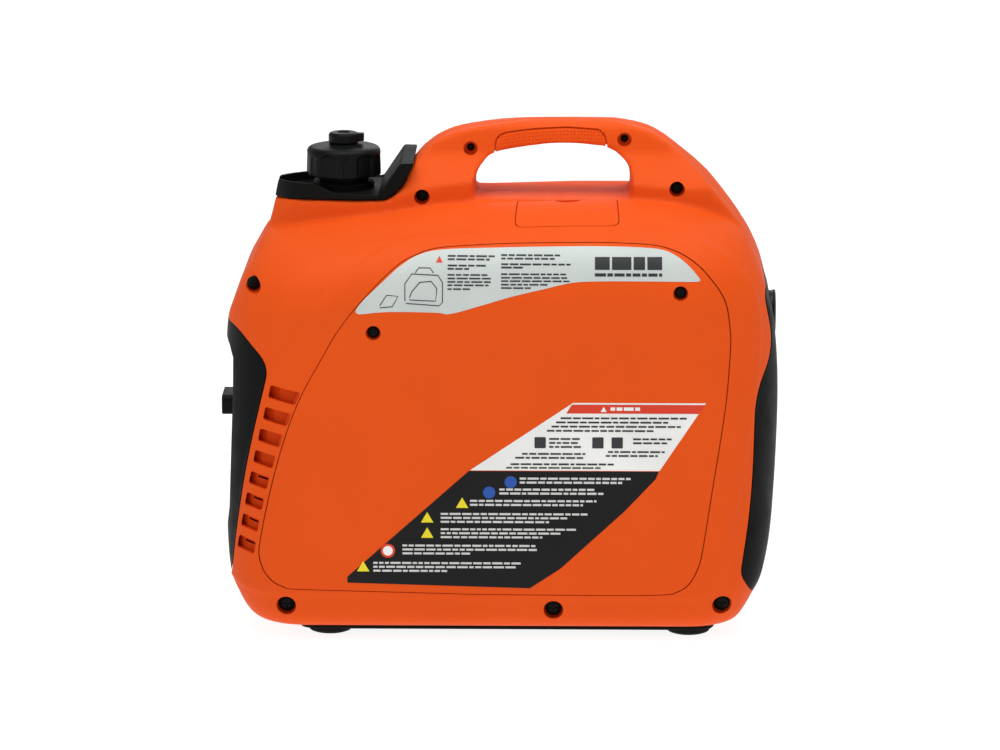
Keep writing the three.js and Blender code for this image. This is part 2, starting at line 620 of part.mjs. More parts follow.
function airFilter() {
  const shell = prismY(rectangle([-112, -31], [152, 246], SMALL), -116, -2);
  const mouth = rod('x', -60, -20, 8, INTAKE_LINE, SMALL);
  const inside = prismY(rectangle([-109, -34], [155, 243], SMALL), -113, -5);
  return cutAll(shell, [inside, mouth]);
}

function muffler() {
  const body = prismX(rectangle([-62, 62], [84, 296], FINE), 150, 213.6);
  const inlet = rod('x', 104.4, 152, 12, MUFFLER_INLET, FINE);
  const inside = prismX(rectangle([-59, 59], [87, 293], 22), 153, 210.6);
  const wayIn = rod('x', 100, 160, 9, MUFFLER_INLET, SMALL);
  const wayOut = rod('x', 200, 220, 17, OUTLET_LINE, FINE);
  return cutAll(body.add(inlet), [inside, wayIn, wayOut]);
}

// Crankshaft along Y with its web, carrying the rotor and the fan outside the crankcase.
function crankshaft() {
  const shaft = rod('y', -46, 96, 10.2, CRANK_LINE, FINE);
  const web = rod('y', -22, -2, 30, CRANK_LINE, FINE);
  const notch = box([20, 100], [-30, 10], [CRANK.z + 12, CRANK.z + 40]);
  return shaft.add(web.subtract(notch));
}

const rotor = () => joinAll([
  ring('y', 44, 70, 58, 51, CRANK_LINE, LARGE), ring('y', 66, 70, 52, 14, CRANK_LINE, LARGE),
  ring('y', 64, 76, 16, 10.5, CRANK_LINE, FINE),
]);

function stator() {
  const core = ring('y', 42, 60, 47, 24, CRANK_LINE, LARGE);
  const slots = repeat(9, (i) => solid(new THREE.BoxGeometry(14, 30, 4).translate(42, 51, 0)
    .rotateY((i / 9) * 2 * Math.PI).translate(CRANK.x, 0, CRANK.z)));
  return cutAll(core, slots).add(ring('y', 36.4, 43, 28, 24, CRANK_LINE, FINE));
}

function fan() {
  const disc = ring('y', 76.4, 79.4, 56, 10.5, CRANK_LINE, LARGE);
  const blades = repeat(10, (i) => solid(new THREE.BoxGeometry(28, 14, 2.4).rotateY(0.5).translate(40, 85, 0)
    .rotateY((i / 10) * 2 * Math.PI).translate(CRANK.x, 0, CRANK.z)));
  return joinAll([disc, ...blades]);
}

const fanShroud = () => joinAll([
  ring('y', 38, 94, 68, 65, CRANK_LINE, LARGE), ring('y', 36.4, 39, 67, 60, CRANK_LINE, LARGE),
]);

function starterHousing() {
  const cup = ring('y', 94.4, 120, 66, 63, CRANK_LINE, LARGE).add(rod('y', 117, 120, 64, CRANK_LINE, LARGE));
  const post = rod('y', 100, 118, 6, CRANK_LINE, SMALL);
  const ropeHole = box([78, 112], [101, 112], [150, 200]);
  return cup.add(post).subtract(ropeHole);
}

function starterPulley() {
  const wheel = ring('y', 101, 113, 30, 6.4, CRANK_LINE, LARGE);
  const groove = ring('y', 104.4, 109.6, 34, 24, CRANK_LINE, LARGE);
  return wheel.subtract(groove);
}

function tube(points, r, sides = 8, steps = 12) {
  const path = new THREE.CatmullRomCurve3(points.map((point) => new THREE.Vector3(...point)));
  const settings = { steps, extrudePath: path, bevelEnabled: false };
  return solid(new THREE.ExtrudeGeometry(shapeOf(circle(r, sides)), settings));
}

// The rope inside runs from the guide eyelet down to the pulley groove.
const ropeInside = () =>
  tube([[GRIP.x, 111, GRIP.z - 3], [94, 107, 190], [90, 107, 150], [87.4, 107, 122]], 2);
const ropeOutside = () => rod('y', 113, 127.6, 2, GRIP_LINE, SMALL);

// Floor behind the starter grip, with the pocket walls moulded to it.
function gripPocketLiner() {
  const outer = prismY(gripHoleOutline(0.5), 120.2, 143);
  return cutAll(outer, [prismY(gripHoleOutline(3), 122.6, 160), rod('y', 110, 130, 3, GRIP_LINE, SMALL)]);
}

function recoilGrip() {
  const bar = prismY(rectangle([52, 138], [204, 226], 9), 128, 143.5);
  const neck = rod('y', 124, 129, 6, GRIP_LINE, FINE, 9);
  return bar.add(neck).subtract(rod('y', 120, 127.9, 2.3, GRIP_LINE, SMALL));
}

// Inverter: a potted box with cooling fins, low down behind the control panel.
function inverter() {
  const body = box([-196, -58], [-78, 78], [32, 62]);
  const fins = repeat(9, (i) => box([-194, -60], [-73 + i * 18, -70 + i * 18], [61, 76]));
  return joinAll([body, ...fins]);
}

function oilPlug() {
  const cap = rod('y', -72, -58.4, 12, OIL_LINE, SMALL);
  const slot = box([84, 112], [-80, -69], [80.5, 83.5]);
  const thread = rod('y', -59, -44, 8.6, OIL_LINE, SMALL);
  const dipstick = rod('y', -45, -28, 2, OIL_LINE, SMALL);
  return joinAll([cap.subtract(slot), thread, dipstick]);
}

const fuelHose = () =>
  tube([[-70, 14, 254], [-68, 14, 246], [-40, 8, 241], [-10, -6, 243], [-6, -14, 236]], 3.5);
const plugLead = () => tube([
  [60, -90, 268], [58, -90, 290], [34, -72, 318], [-8, -24, 318], [-28, 26, 300], [-30, 34, 284],
], 3);
const ignitionCoil = () => box([-44, -16], [22, 50], [250, 279.6]);

// A pan-head screw along Y, its head facing outwards on the given side.
function screw(side, x, z, headAt, length, r = 5.2) {
  const head = rod('y', ...outward(side, headAt - 3, headAt), r, [x, 0, z], FINE);
  const shank = rod('y', ...outward(side, headAt - length, headAt - 2.9), 2, [x, 0, z], SMALL);
  const slotSpan = outward(side, headAt - 1.2, headAt + 1);
  const slot = (wide, tall) => box([x - wide, x + wide], slotSpan, [z - tall, z + tall]);
  return cutAll(head.add(shank), [slot(3, 0.6), slot(0.6, 3)]);
}

// ---------------------------------------------------------------- assembly
const generator = new THREE.Group();

function add(name, made, material) {
  const mesh = new THREE.Mesh(geometryOf(made), material.clone());
  mesh.name = name;
  generator.add(mesh);
}

add('rear_shell', rearShell(), ORANGE);
add('front_shell', frontShell(), ORANGE);
add('service_panel', servicePanel(), ORANGE);
add('spark_plug_hatch', sparkPlugHatch(), ORANGE);
PANEL_SCREWS.forEach(([x, z], i) => add(`panel_screw_${i + 1}`, screw(-1, x, z, 140.6, 16), STEEL));
add('control_cap', controlCap(), BLACK);
add('control_panel', controlPanel(), BLACK);
add('exhaust_cap', exhaustCap(), BLACK);
add('exhaust_outlet', exhaustOutlet(), DARK_STEEL);
add('tank_surround', tankSurround(), BLACK);
add('base_tray', baseTray(), BLACK);
FEET.forEach(([name, x, y]) => add(name, foot(x, y), RUBBER));

add('fuel_tank', fuelTank(), TANK_PLASTIC);
add('fuel_cap_core', capCore(), BLACK);
add('fuel_cap', fuelCap(), BLACK);
add('vent_lever', ventLever(), BLACK);

add('engine_switch', engineSwitch(DEVICES.switch), BLACK);
DEVICES.outlets.forEach((at, i) => add(`ac_outlet_${i + 1}`, outlet(at), BLACK));
add('dc_socket', dcSocket(DEVICES.dc), BLACK);
add('eco_switch', ecoRocker(DEVICES.eco), BLACK);
add('ac_breaker', pushButton(DEVICES.breakerAc), RED_BUTTON);
add('dc_breaker', pushButton(DEVICES.breakerDc), RED_BUTTON);
const lensPaint = [GREEN_LENS, RED_LENS, AMBER_LENS];
DEVICES.lamps.forEach(({ name, y }, i) => add(name, lampLens({ y, z: DEVICES.lampZ }), lensPaint[i]));
add('ground_stud', groundStud(DEVICES.ground), STEEL);
add('ground_nut', groundNut(DEVICES.ground), STEEL);

ENGINE_MOUNTS.forEach(([x, y], i) => add(`engine_mount_${i + 1}`, rubberMount(x, y), RUBBER));
add('crankcase', crankcase(), ALUMINIUM);
add('cylinder', cylinder(), ALUMINIUM);
add('cylinder_head', cylinderHead(), ALUMINIUM);
add('valve_cover', valveCover(), DARK_STEEL);
add('spark_plug', sparkPlug(), STEEL);
add('spark_plug_cap', sparkPlugCap(), RUBBER);
add('oil_plug', oilPlug(), BLACK);
add('carburettor', carburettor(), ALUMINIUM);
add('air_filter_case', airFilter(), BLACK);
add('muffler', muffler(), STEEL);
add('crankshaft', crankshaft(), STEEL);
add('rotor', rotor(), DARK_STEEL);
add('stator', stator(), COPPER);
add('fan', fan(), BLACK);
add('fan_shroud', fanShroud(), BLACK);
add('starter_housing', starterHousing(), DARK_STEEL);
add('starter_pulley', starterPulley(), CLEAR_GREY);
add('rope_inside', ropeInside(), RUBBER);
add('rope_outside', ropeOutside(), RUBBER);
add('grip_pocket', gripPocketLiner(), BLACK);
add('recoil_grip', recoilGrip(), BLACK);
add('inverter', inverter(), ALUMINIUM);
add('fuel_hose', fuelHose(), RUBBER);
add('ignition_coil', ignitionCoil(), DARK_STEEL);

export default generator;
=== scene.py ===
"""Looks of a suitcase inverter generator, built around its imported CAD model.

The moulded outside is one smooth envelope, cut into its shells,
covers and end caps the way the mould parts it.
Outlines are in design millimetres, scaled to the frame's own length by MM.
"""

import json
import math

import bmesh
import bpy
import numpy as np
from mathutils import Matrix, Vector
from mathutils.bvhtree import BVHTree
from mathutils.geometry import delaunay_2d_cdt


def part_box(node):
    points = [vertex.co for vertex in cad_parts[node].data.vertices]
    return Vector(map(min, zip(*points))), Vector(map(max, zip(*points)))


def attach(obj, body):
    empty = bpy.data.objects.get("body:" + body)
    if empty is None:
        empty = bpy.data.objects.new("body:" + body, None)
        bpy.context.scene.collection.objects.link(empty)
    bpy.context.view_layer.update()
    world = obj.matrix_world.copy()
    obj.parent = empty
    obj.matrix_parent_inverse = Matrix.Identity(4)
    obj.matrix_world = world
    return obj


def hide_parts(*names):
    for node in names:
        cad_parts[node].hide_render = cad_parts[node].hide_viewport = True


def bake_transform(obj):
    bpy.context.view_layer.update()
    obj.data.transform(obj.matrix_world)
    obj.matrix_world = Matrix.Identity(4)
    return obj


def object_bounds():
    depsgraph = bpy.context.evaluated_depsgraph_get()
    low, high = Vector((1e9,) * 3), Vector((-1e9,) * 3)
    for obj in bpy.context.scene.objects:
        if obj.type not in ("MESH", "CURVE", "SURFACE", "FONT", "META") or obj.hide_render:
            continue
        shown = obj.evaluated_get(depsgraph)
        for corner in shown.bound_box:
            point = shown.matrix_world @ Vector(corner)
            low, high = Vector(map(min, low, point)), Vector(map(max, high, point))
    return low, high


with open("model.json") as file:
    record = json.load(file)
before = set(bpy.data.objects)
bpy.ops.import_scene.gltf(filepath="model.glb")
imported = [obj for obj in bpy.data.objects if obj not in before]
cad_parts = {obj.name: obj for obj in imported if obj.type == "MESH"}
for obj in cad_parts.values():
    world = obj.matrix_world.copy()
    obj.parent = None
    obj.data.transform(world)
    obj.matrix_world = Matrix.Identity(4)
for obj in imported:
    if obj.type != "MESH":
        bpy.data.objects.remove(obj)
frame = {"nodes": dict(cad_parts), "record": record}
START_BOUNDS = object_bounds()
LOW, HIGH = START_BOUNDS
scene = bpy.context.scene

# ---------------- driving dimensions, in design millimetres
DESIGN_LENGTH = 500
MM = (HIGH.x - LOW.x) / DESIGN_LENGTH
HALF_WIDTH = (HIGH.y - LOW.y) / 2 / MM
HANDLE_TOP = HIGH.z / MM
WALL = 3.0
SEAM = 0.9
# How far along y cutters reach: past every surface, and well inside the cavity.
BEYOND = 200
INSIDE = 60
SHELL_BOTTOM = 10
CREST = 384.5
DROP_START = 250
VOXEL = 2.0
ROUNDING = 9


def in_design(node):
    """Lowest and highest corner of a CAD node, in design millimetres."""
    low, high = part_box(node)
    return np.array(low) / MM, np.array(high) / MM


def centre_of(node):
    low, high = in_design(node)
    return (low + high) / 2


# ---------------- outlines
def smooth_through(points, steps):
    """An even curve through the points (Catmull-Rom), with about that many steps in all."""
    p = np.array(points, float)
    p = np.vstack([2 * p[0] - p[1], p, 2 * p[-1] - p[-2]])
    spans = len(p) - 3
    out = []
    for t in np.linspace(0, spans, steps + 1):
        i = min(int(t), spans - 1)
        u = t - i
        a, b, c, d = p[i : i + 4]
        square = (2 * a - 5 * b + 4 * c - d) * u**2
        cube = (3 * b - a - 3 * c + d) * u**3
        out.append(0.5 * (2 * b + (c - a) * u + square + cube))
    return [tuple(q) for q in out]


def rounded(points, radius, steps=8):
    """A polygon with rounded corners. A point may carry its own radius as a third value."""
    out = []
    for i, point in enumerate(points):
        here = Vector(point[:2])
        before = Vector(points[i - 1][:2])
        after = Vector(points[(i + 1) % len(points)][:2])
        r = point[2] if len(point) > 2 else radius
        start = here.lerp(before, min(0.48, r / (here - before).length))
        end = here.lerp(after, min(0.48, r / (here - after).length))
        for k in range(steps + 1):
            t = k / steps
            out.append(tuple(start * (1 - t) ** 2 + here * 2 * t * (1 - t) + end * t**2))
    return out


def circle(cx, cy, r, steps=40):
    return [(cx + r * math.cos(2 * math.pi * i / steps), cy + r * math.sin(2 * math.pi * i / steps))
            for i in range(steps)]


def grown(points, centre, kx, kz):
    return [(centre[0] + (x - centre[0]) * kx, centre[1] + (z - centre[1]) * kz) for x, z in points]


def moved(points, dx, dz=0):
    return [(x + dx, z + dz) for x, z in points]


def mirrored(points):
    return points + [(x, -y) for x, y in reversed(points[1:-1])]


SMOOTHING_LOSS = 0.4
SPINE_TOP = HANDLE_TOP + SMOOTHING_LOSS
SPINE_SIDE = (
    [(-196, 290), (-218, 334), (-209, 354), (-205, 368), (-202.5, 379.5), (-150, 383), (-103, 384.5)]
    + smooth_through([(-94, 388.5), (-86, 396.5), (-79, 410), (-66, 426), (-45, 439), (-15, 446),
                      (25, 450.4), (69, SPINE_TOP)], 40)
    + smooth_through([(104, 450.4), (138, 440.5), (172, 414), (202, 380), (222, 352), (233, 326)], 40)
    + [(215, 290)]
)
TIP_LOW, TIP_HIGH = -236, -204.5


def spine_plan(tip):
    """Plan view of the spine: a long boat shape with its tip at the filler end."""
    return mirrored(smooth_through(
        [(tip, 0), (tip + 4, 10), (tip + 20, 27), (-145, 47), (-100, 54), (-40, 46), (60, 41), (140, 48),
         (190, 48), (222, 34), (236, 0)], 60))


SPINE_HALF_SECTION = smooth_through([(60, 280), (60, 372), (51, 392), (36, 409), (25, 423), (21.5, 437),
                                     (17, 448), (0, SPINE_TOP)], 40)
SPINE_SECTION = SPINE_HALF_SECTION + [(-y, z) for y, z in reversed(SPINE_HALF_SECTION[:-1])]
OPENING = (
    smooth_through([(-21.5, CREST), (-21, 402), (-14, 415), (-3, 423), (35, 429.5), (62, 431), (94, 428.5)],
                   40)
    + smooth_through([(104, 424), (114, 414), (117, 402), (116.5, CREST)], 24)
)
OPENING_CENTRE = (48, 411)
CONTROL_END = rounded(
    [(-260, 284, 1), (-243, 284, 6), (-231, 281, 10), (-202, 252, 14), (-223, 166, 60), (-234, 100, 60),
     (-239, 56, 20), (-246, 38, 4), (-260, 38, 1)], 8)
EXHAUST_END = rounded(
    [(260, 34, 1), (232, 34, 2), (217, 62, 7), (227, 130, 60), (229, 225, 20), (246, 262, 24), (237, 308, 8),
     (241, 318, 3), (260, 318, 1)], 8)
SERVICE_COVER = smooth_through(
    [(-20, 46), (80, 45.5), (144, 46), (160, 49), (171, 57), (179, 73), (183, 92), (190, 139), (197, 185),
     (202, 222), (205, 262), (205, 284), (200, 312), (184, 335), (170, 347), (156, 354), (138, 358.5),
     (111, 360), (86, 360.5), (45, 360), (4, 359), (-41, 356.5), (-59, 354), (-70, 350.5), (-85, 343.5),
     (-103, 328.5), (-124, 306), (-140, 285), (-154, 261), (-173, 226), (-186, 193), (-197, 156),
     (-206, 118), (-211, 92), (-212, 79), (-208, 66), (-200, 57), (-190, 52), (-178, 50), (-100, 48)], 220)

# ---------------- mesh helpers
def mesh_object(name, points, faces):
    mesh = bpy.data.meshes.new(name)
    mesh.from_pydata([tuple(c * MM for c in point) for point in points], [], faces)
    work = bmesh.new()
    work.from_mesh(mesh)
    bmesh.ops.remove_doubles(work, verts=work.verts, dist=1e-6)
    bmesh.ops.recalc_face_normals(work, faces=work.faces)
    work.to_mesh(mesh)
    work.free()
    obj = bpy.data.objects.new(name, mesh)
    scene.collection.objects.link(obj)
    return obj


def loft(name, rings):
    """A closed skin through rings of equal point counts."""
    count = len(rings[0])
    points = [point for ring in rings for point in ring]
    faces = []
    for level in range(len(rings) - 1):
        for i in range(count):
            a, b = level * count + i, level * count + (i + 1) % count
            faces.append((a, b, b + count, a + count))
    faces.append(tuple(range(count))[::-1])
    faces.append(tuple(range(len(points) - count, len(points))))
    return mesh_object(name, points, faces)


def prism(name, outline, axis, start, end):
    """An outline pushed along an axis: XZ outlines along y, XY along z, YZ along x."""
    place = {"x": lambda p, t: (t, *p), "y": lambda p, t: (p[0], t, p[1]), "z": lambda p, t: (*p, t)}[axis]
    return loft(name, [[place(p, start) for p in outline], [place(p, end) for p in outline]])


def slab(name, xs, ys, zs):
    return prism(name, [(xs[0], ys[0]), (xs[1], ys[0]), (xs[1], ys[1]), (xs[0], ys[1])], "z", *zs)


def turned(name, profile, axis, centre, steps=64):
    """A profile of (radius, height) pairs turned round an axis. It starts and ends on that axis."""
    rings = []
    for r, h in profile:
        r = max(r, 0.01)
        ring = []
        for p, q in circle(0, 0, r, steps):
            ring.append({"x": (h, p, q), "y": (p, h, q), "z": (p, q, h)}[axis])
        rings.append([tuple(np.add(point, centre)) for point in ring])
    return loft(name, rings)


def bake(obj):
    """Makes the modifiers' result the object's own mesh."""
    graph = bpy.context.evaluated_depsgraph_get()
    mesh = bpy.data.meshes.new_from_object(obj.evaluated_get(graph))
    obj.modifiers.clear()
    obj.data = mesh
    return obj


def discard(*objs):
    for obj in objs:
        bpy.data.objects.remove(obj)


def copy_of(obj, name):
    twin = bpy.data.objects.new(name, obj.data.copy())
    scene.collection.objects.link(twin)
    return twin


def combined(obj, others, operation, keep=False):
    for other in others:
        step = obj.modifiers.new("combine", "BOOLEAN")
        step.operation = operation
        step.solver = "MANIFOLD"
        step.object = other
    bake(obj)
    if not keep:
        discard(*others)
    return obj


def cut(obj, others, keep=False):
    return combined(obj, others, "DIFFERENCE", keep)


def meet(obj, others, keep=False):
    return combined(obj, others, "INTERSECT", keep)


def join(obj, others, keep=False):
    return combined(obj, others, "UNION", keep)


def moulded(obj, voxel, rounds):
    """Rounds every edge the way a mould does: an even mesh, evened out."""
    remesh = obj.modifiers.new("even", "REMESH")
    remesh.mode = "VOXEL"
    remesh.voxel_size = voxel * MM
    smooth = obj.modifiers.new("round", "SMOOTH")
    smooth.factor = 0.5
    smooth.iterations = rounds
    return bake(obj)


def drop_loose(obj):
    """Keeps the biggest connected body, so that no sliver of a cut stays behind."""
    work = bmesh.new()
    work.from_mesh(obj.data)
    left = set(work.verts)
    groups = []
    while left:
        stack = [left.pop()]
        group = list(stack)
        while stack:
            for edge in stack.pop().link_edges:
                for vert in edge.verts:
                    if vert in left:
                        left.remove(vert)
                        stack.append(vert)
                        group.append(vert)
        groups.append(group)
    groups.sort(key=len)
    for group in groups[:-1]:
        bmesh.ops.delete(work, geom=group, context="VERTS")
    work.to_mesh(obj.data)
    work.free()
    return obj


SHARP_ANGLE = math.radians(32)


def finished(obj, material, body="frame", stands_for=()):
    """Smooth shading with crisp cut edges, a material, the body it rides on, and the nodes it stands for."""
    obj.data.shade_smooth()
    obj.data.set_sharp_from_angle(angle=SHARP_ANGLE)
    obj.data.materials.clear()
    obj.data.materials.append(material)
    for face in obj.data.polygons:
        face.material_index = 0
    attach(obj, body)
    if stands_for:
        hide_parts(*stands_for)
    return obj


# ---------------- materials
def srgb(r, g, b):
    """A colour given as it looks, as the linear colour a shader takes."""
    return tuple(((c / 255 + 0.055) / 1.055) ** 2.4 if c > 10 else c / 255 / 12.92
                 for c in (r, g, b)) + (1.0,)


METAL_REFLECTANCE = 0.5


def moulded_plastic(name, colour, roughness, grain=900, depth=0.12, variation=0.06, metallic=0.0,
                    reflectance=0.2):
    """A moulded or cast surface: a slight change of shade, uneven gloss and a fine grain in relief."""
    material = bpy.data.materials.new(name)
    material.use_nodes = True
    nodes, links = material.node_tree.nodes, material.node_tree.links
    shader = nodes["Principled BSDF"]
    where = nodes.new("ShaderNodeTexCoord")

    def noise(scale, detail=3):
        made = nodes.new("ShaderNodeTexNoise")
        made.inputs["Scale"].default_value = scale
        made.inputs["Detail"].default_value = detail
        links.new(where.outputs["Object"], made.inputs["Vector"])
        return made

    def spread(source, low, high):
        made = nodes.new("ShaderNodeMapRange")
        made.inputs["From Min"].default_value = 0.3
        made.inputs["From Max"].default_value = 0.7
        made.inputs["To Min"].default_value = low
        made.inputs["To Max"].default_value = high
        links.new(source.outputs["Fac"], made.inputs["Value"])
        return made

    shade = nodes.new("ShaderNodeHueSaturation")
    shade.inputs["Color"].default_value = colour
    links.new(spread(noise(14), 1 - variation, 1 + variation).outputs["Result"], shade.inputs["Value"])
    links.new(shade.outputs["Color"], shader.inputs["Base Color"])
    gloss = spread(noise(60), max(0.02, roughness - 0.05), min(1, roughness + 0.05))
    links.new(gloss.outputs["Result"], shader.inputs["Roughness"])
    relief = nodes.new("ShaderNodeBump")
    relief.inputs["Strength"].default_value = depth
    relief.inputs["Distance"].default_value = 0.0004
    links.new(noise(grain, 2).outputs["Fac"], relief.inputs["Height"])
    links.new(relief.outputs["Normal"], shader.inputs["Normal"])
    shader.inputs["Metallic"].default_value = metallic
    shader.inputs["Specular IOR Level"].default_value = METAL_REFLECTANCE if metallic else reflectance
    return material


ORANGE = moulded_plastic("orange shell", srgb(228, 82, 17), 0.6, variation=0.02, reflectance=0.12)
# A darker copy of the orange: painted shade for the vent and pocket linings in their recesses.
SHADED_ORANGE = moulded_plastic("orange painted shade", srgb(206, 66, 12), 0.55, variation=0.02, reflectance=0.06)
BLACK = moulded_plastic("black plastic", srgb(17, 19, 18), 0.5, grain=1200, depth=0.3, reflectance=0.05)
SATIN_BLACK = moulded_plastic("satin black", srgb(14, 15, 15), 0.38, grain=500, depth=0.1, reflectance=0.1)
RUBBER = moulded_plastic("rubber", srgb(20, 20, 20), 0.85, grain=700, depth=0.3)
SILVER_LABEL = moulded_plastic("silver label", srgb(196, 203, 199), 0.3, depth=0.04)
WHITE_LABEL = moulded_plastic("white label", srgb(236, 236, 233), 0.3, depth=0.04)
BLACK_LABEL = moulded_plastic("black label", srgb(24, 24, 25), 0.35, depth=0.04, reflectance=0.12)
RED_INK = moulded_plastic("red ink", srgb(214, 62, 36), 0.35, depth=0.03)
DARK_INK = moulded_plastic("dark ink", srgb(52, 54, 56), 0.35, depth=0.03)
PALE_INK = moulded_plastic("pale ink", srgb(205, 205, 203), 0.35, depth=0.03)
YELLOW_INK = moulded_plastic("yellow ink", srgb(232, 214, 40), 0.35, depth=0.03)
BLUE_INK = moulded_plastic("blue ink", srgb(40, 84, 168), 0.35, depth=0.03)
RED_BUTTON = moulded_plastic("red button", srgb(176, 40, 32), 0.35)
GREEN_LENS = moulded_plastic("green lens", srgb(52, 150, 70), 0.12)
RED_LENS = moulded_plastic("red lens", srgb(186, 40, 32), 0.12)
AMBER_LENS = moulded_plastic("amber lens", srgb(214, 140, 34), 0.12)
STEEL = moulded_plastic("steel", srgb(176, 178, 180), 0.32, grain=300, metallic=1.0)
DARK_STEEL = moulded_plastic("dark steel", srgb(64, 64, 66), 0.4, grain=300, metallic=0.9)
ALUMINIUM = moulded_plastic("cast aluminium", srgb(190, 192, 194), 0.5, grain=500, depth=0.4, metallic=1.0)
COPPER = moulded_plastic("varnished copper", srgb(178, 104, 52), 0.34, grain=400, metallic=1.0)
PALE_PLASTIC = moulded_plastic("pale plastic", srgb(186, 190, 186), 0.45)

CAD_FINISH = {
    "orange_shell": ORANGE, "black_plastic": BLACK, "red_button": RED_BUTTON, "lens": AMBER_LENS,
    "pale_plastic": PALE_PLASTIC, "rubber": RUBBER, "steel": STEEL, "dark_steel": DARK_STEEL,
    "cast_aluminium": ALUMINIUM, "winding": COPPER,
}
OWN_FINISH = {
    "output_lamp": GREEN_LENS, "overload_lamp": RED_LENS, "oil_lamp": AMBER_LENS, "rope_inside": BLACK,
    # The muffler takes dark steel: partly heat-stained steel, partly painted shade for a box seen inside the
    # cap.
    "muffler": DARK_STEEL,
}


def finish_cad_nodes():
    """Every node that is carried over gets the material of its slot in the record."""
    for subpart in frame["record"]["subparts"]:
        material = OWN_FINISH.get(subpart["node"], CAD_FINISH[subpart["material_slot"]])
        node = frame["nodes"][subpart["node"]]
        for held in node.material_slots:
            held.material = material
        if not node.material_slots:
            node.data.materials.append(material)


# ---------------- body envelope
# Each level of the body: its height, half-width, left end and right end.
LEVELS = [
    (10, 119, -208, 206), (14, 131, -217, 214), (22, 139, -225, 220), (36, 143, -233, 228),
    (58, 144.8, -241, 238), (110, 145, -244.5, 246), (214, 145, -244.5, 250), (288, 145, -242, 246),
    (315, 144.8, -237, 242), (343, 136, -230, 237), (362, 118, -222, 230), (376, 88, -215, 222),
    (383, 62, -210, 215), (384.5, 45, -208, 212),
]
LOW_CORNER, HIGH_CORNER = 0.3, 0.5
CORNER_RISE = 120
CORNER_STEPS = 14
# The raised stretch round the service cover: its height, and how its outline grows from the cover's.
BEZEL_RISE = 1.3
BEZEL_CENTRE, BEZEL_GROWTH = (40, 150), (1.17, 1.04)
SIDE_STEPS = 40


def crest_drop(x):
    """How far the top falls away towards each end."""
    tilt = 3 * min(1, max(0, 70 - x) / 100)
    if x < 0:
        return tilt + 28 * (max(0, -20 - x) / 189) ** 1.5
    return tilt + 17 * (max(0, x - 125) / 79) ** 2


def level_ring(z0, half, left, right, inset):
    share = (z0 - SHELL_BOTTOM) / (CREST - SHELL_BOTTOM)
    z = z0 + inset * (1 - 2 * share)
    w = half - inset
    x0, x1 = left + inset, right - inset
    corner = w * (LOW_CORNER + (HIGH_CORNER - LOW_CORNER) * min(1, z0 / CORNER_RISE))
    flat = []
    for cx, cy, turn in ((x0, -w, 2), (x1, -w, 3), (x1, w, 0), (x0, w, 1)):
        middle = (cx + corner * (1 if cx == x0 else -1), cy + corner * (1 if cy < 0 else -1))
        for i in range(CORNER_STEPS + 1):
            a = math.pi / 2 * (turn + i / CORNER_STEPS)
            flat.append((middle[0] + corner * math.cos(a), middle[1] + corner * math.sin(a)))
        if turn in (2, 0):
            end = x1 - corner if turn == 2 else x0 + corner
            flat += [(flat[-1][0] + (end - flat[-1][0]) * k / SIDE_STEPS, flat[-1][1])
                     for k in range(1, SIDE_STEPS)]
    rise = max(0, (z0 - DROP_START) / (CREST - DROP_START))
    weight = rise * rise * (3 - 2 * rise)
    return [(x, y, z - weight * crest_drop(x)) for x, y in flat]


def body_volume(name, inset, steps):
    return loft(name, [level_ring(*level, inset) for level in smooth_through(LEVELS, steps)])


def spine_volume():
    side = prism("spine", SPINE_SIDE, "y", -70, 70)
    levels = ((280, TIP_LOW), (384, TIP_HIGH), (460, TIP_HIGH))
    plan = loft("plan", [[(x, y, z) for x, y in spine_plan(tip)] for z, tip in levels])
    return meet(side, [plan, prism("section", SPINE_SECTION, "x", -260, 260)])


def opening_volume():
    """The hand opening, flared on both sides so that the hand meets no edge."""
    through = prism("opening", OPENING, "y", -90, 90)
    wide = [(x, max(z, CREST)) for x, z in grown(OPENING, OPENING_CENTRE, 1.06, 1.2)]
    flares = [
        loft("flare", [[(x, side * 15, z) for x, z in OPENING], [(x, side * 75, z) for x, z in wide]])
        for side in (-1, 1)
    ]
    return join(through, flares)


def cover_bezel():
    """The slightly raised stretch of wall round the service cover."""
    raised = body_volume("bezel", -BEZEL_RISE, 90)
    meet(raised, [prism("region", grown(SERVICE_COVER, BEZEL_CENTRE, *BEZEL_GROWTH), "y", -BEYOND, -INSIDE)])
    return cut(raised, [prism("end", CONTROL_END, "y", -BEYOND, BEYOND)])


BODY = body_volume("envelope", 0, 90)
ENVELOPE = cut(join(BODY, [spine_volume(), cover_bezel()]), [opening_volume()])
moulded(ENVELOPE, VOXEL, ROUNDING)
CAVITY = body_volume("cavity", WALL, 40)
SURFACE = BVHTree.FromPolygons(
    [vert.co.copy() for vert in ENVELOPE.data.vertices],
    [tuple(face.vertices) for face in ENVELOPE.data.polygons]
)


def skin_depth(x, z, side=-1):
    """How far out the outer surface is, along y, at that point of the side view."""
    start = Vector((x * MM, side * 2 * HALF_WIDTH * MM, z * MM))
    hit = SURFACE.ray_cast(start, Vector((0, -side, 0)))[0]
    return abs(hit.y) / MM if hit else HALF_WIDTH


def half_space(side, gap=SEAM / 2):
    ys = (-BEYOND, -gap) if side < 0 else (gap, BEYOND)
    return slab("half", (-300, 300), ys, (-20, 500))


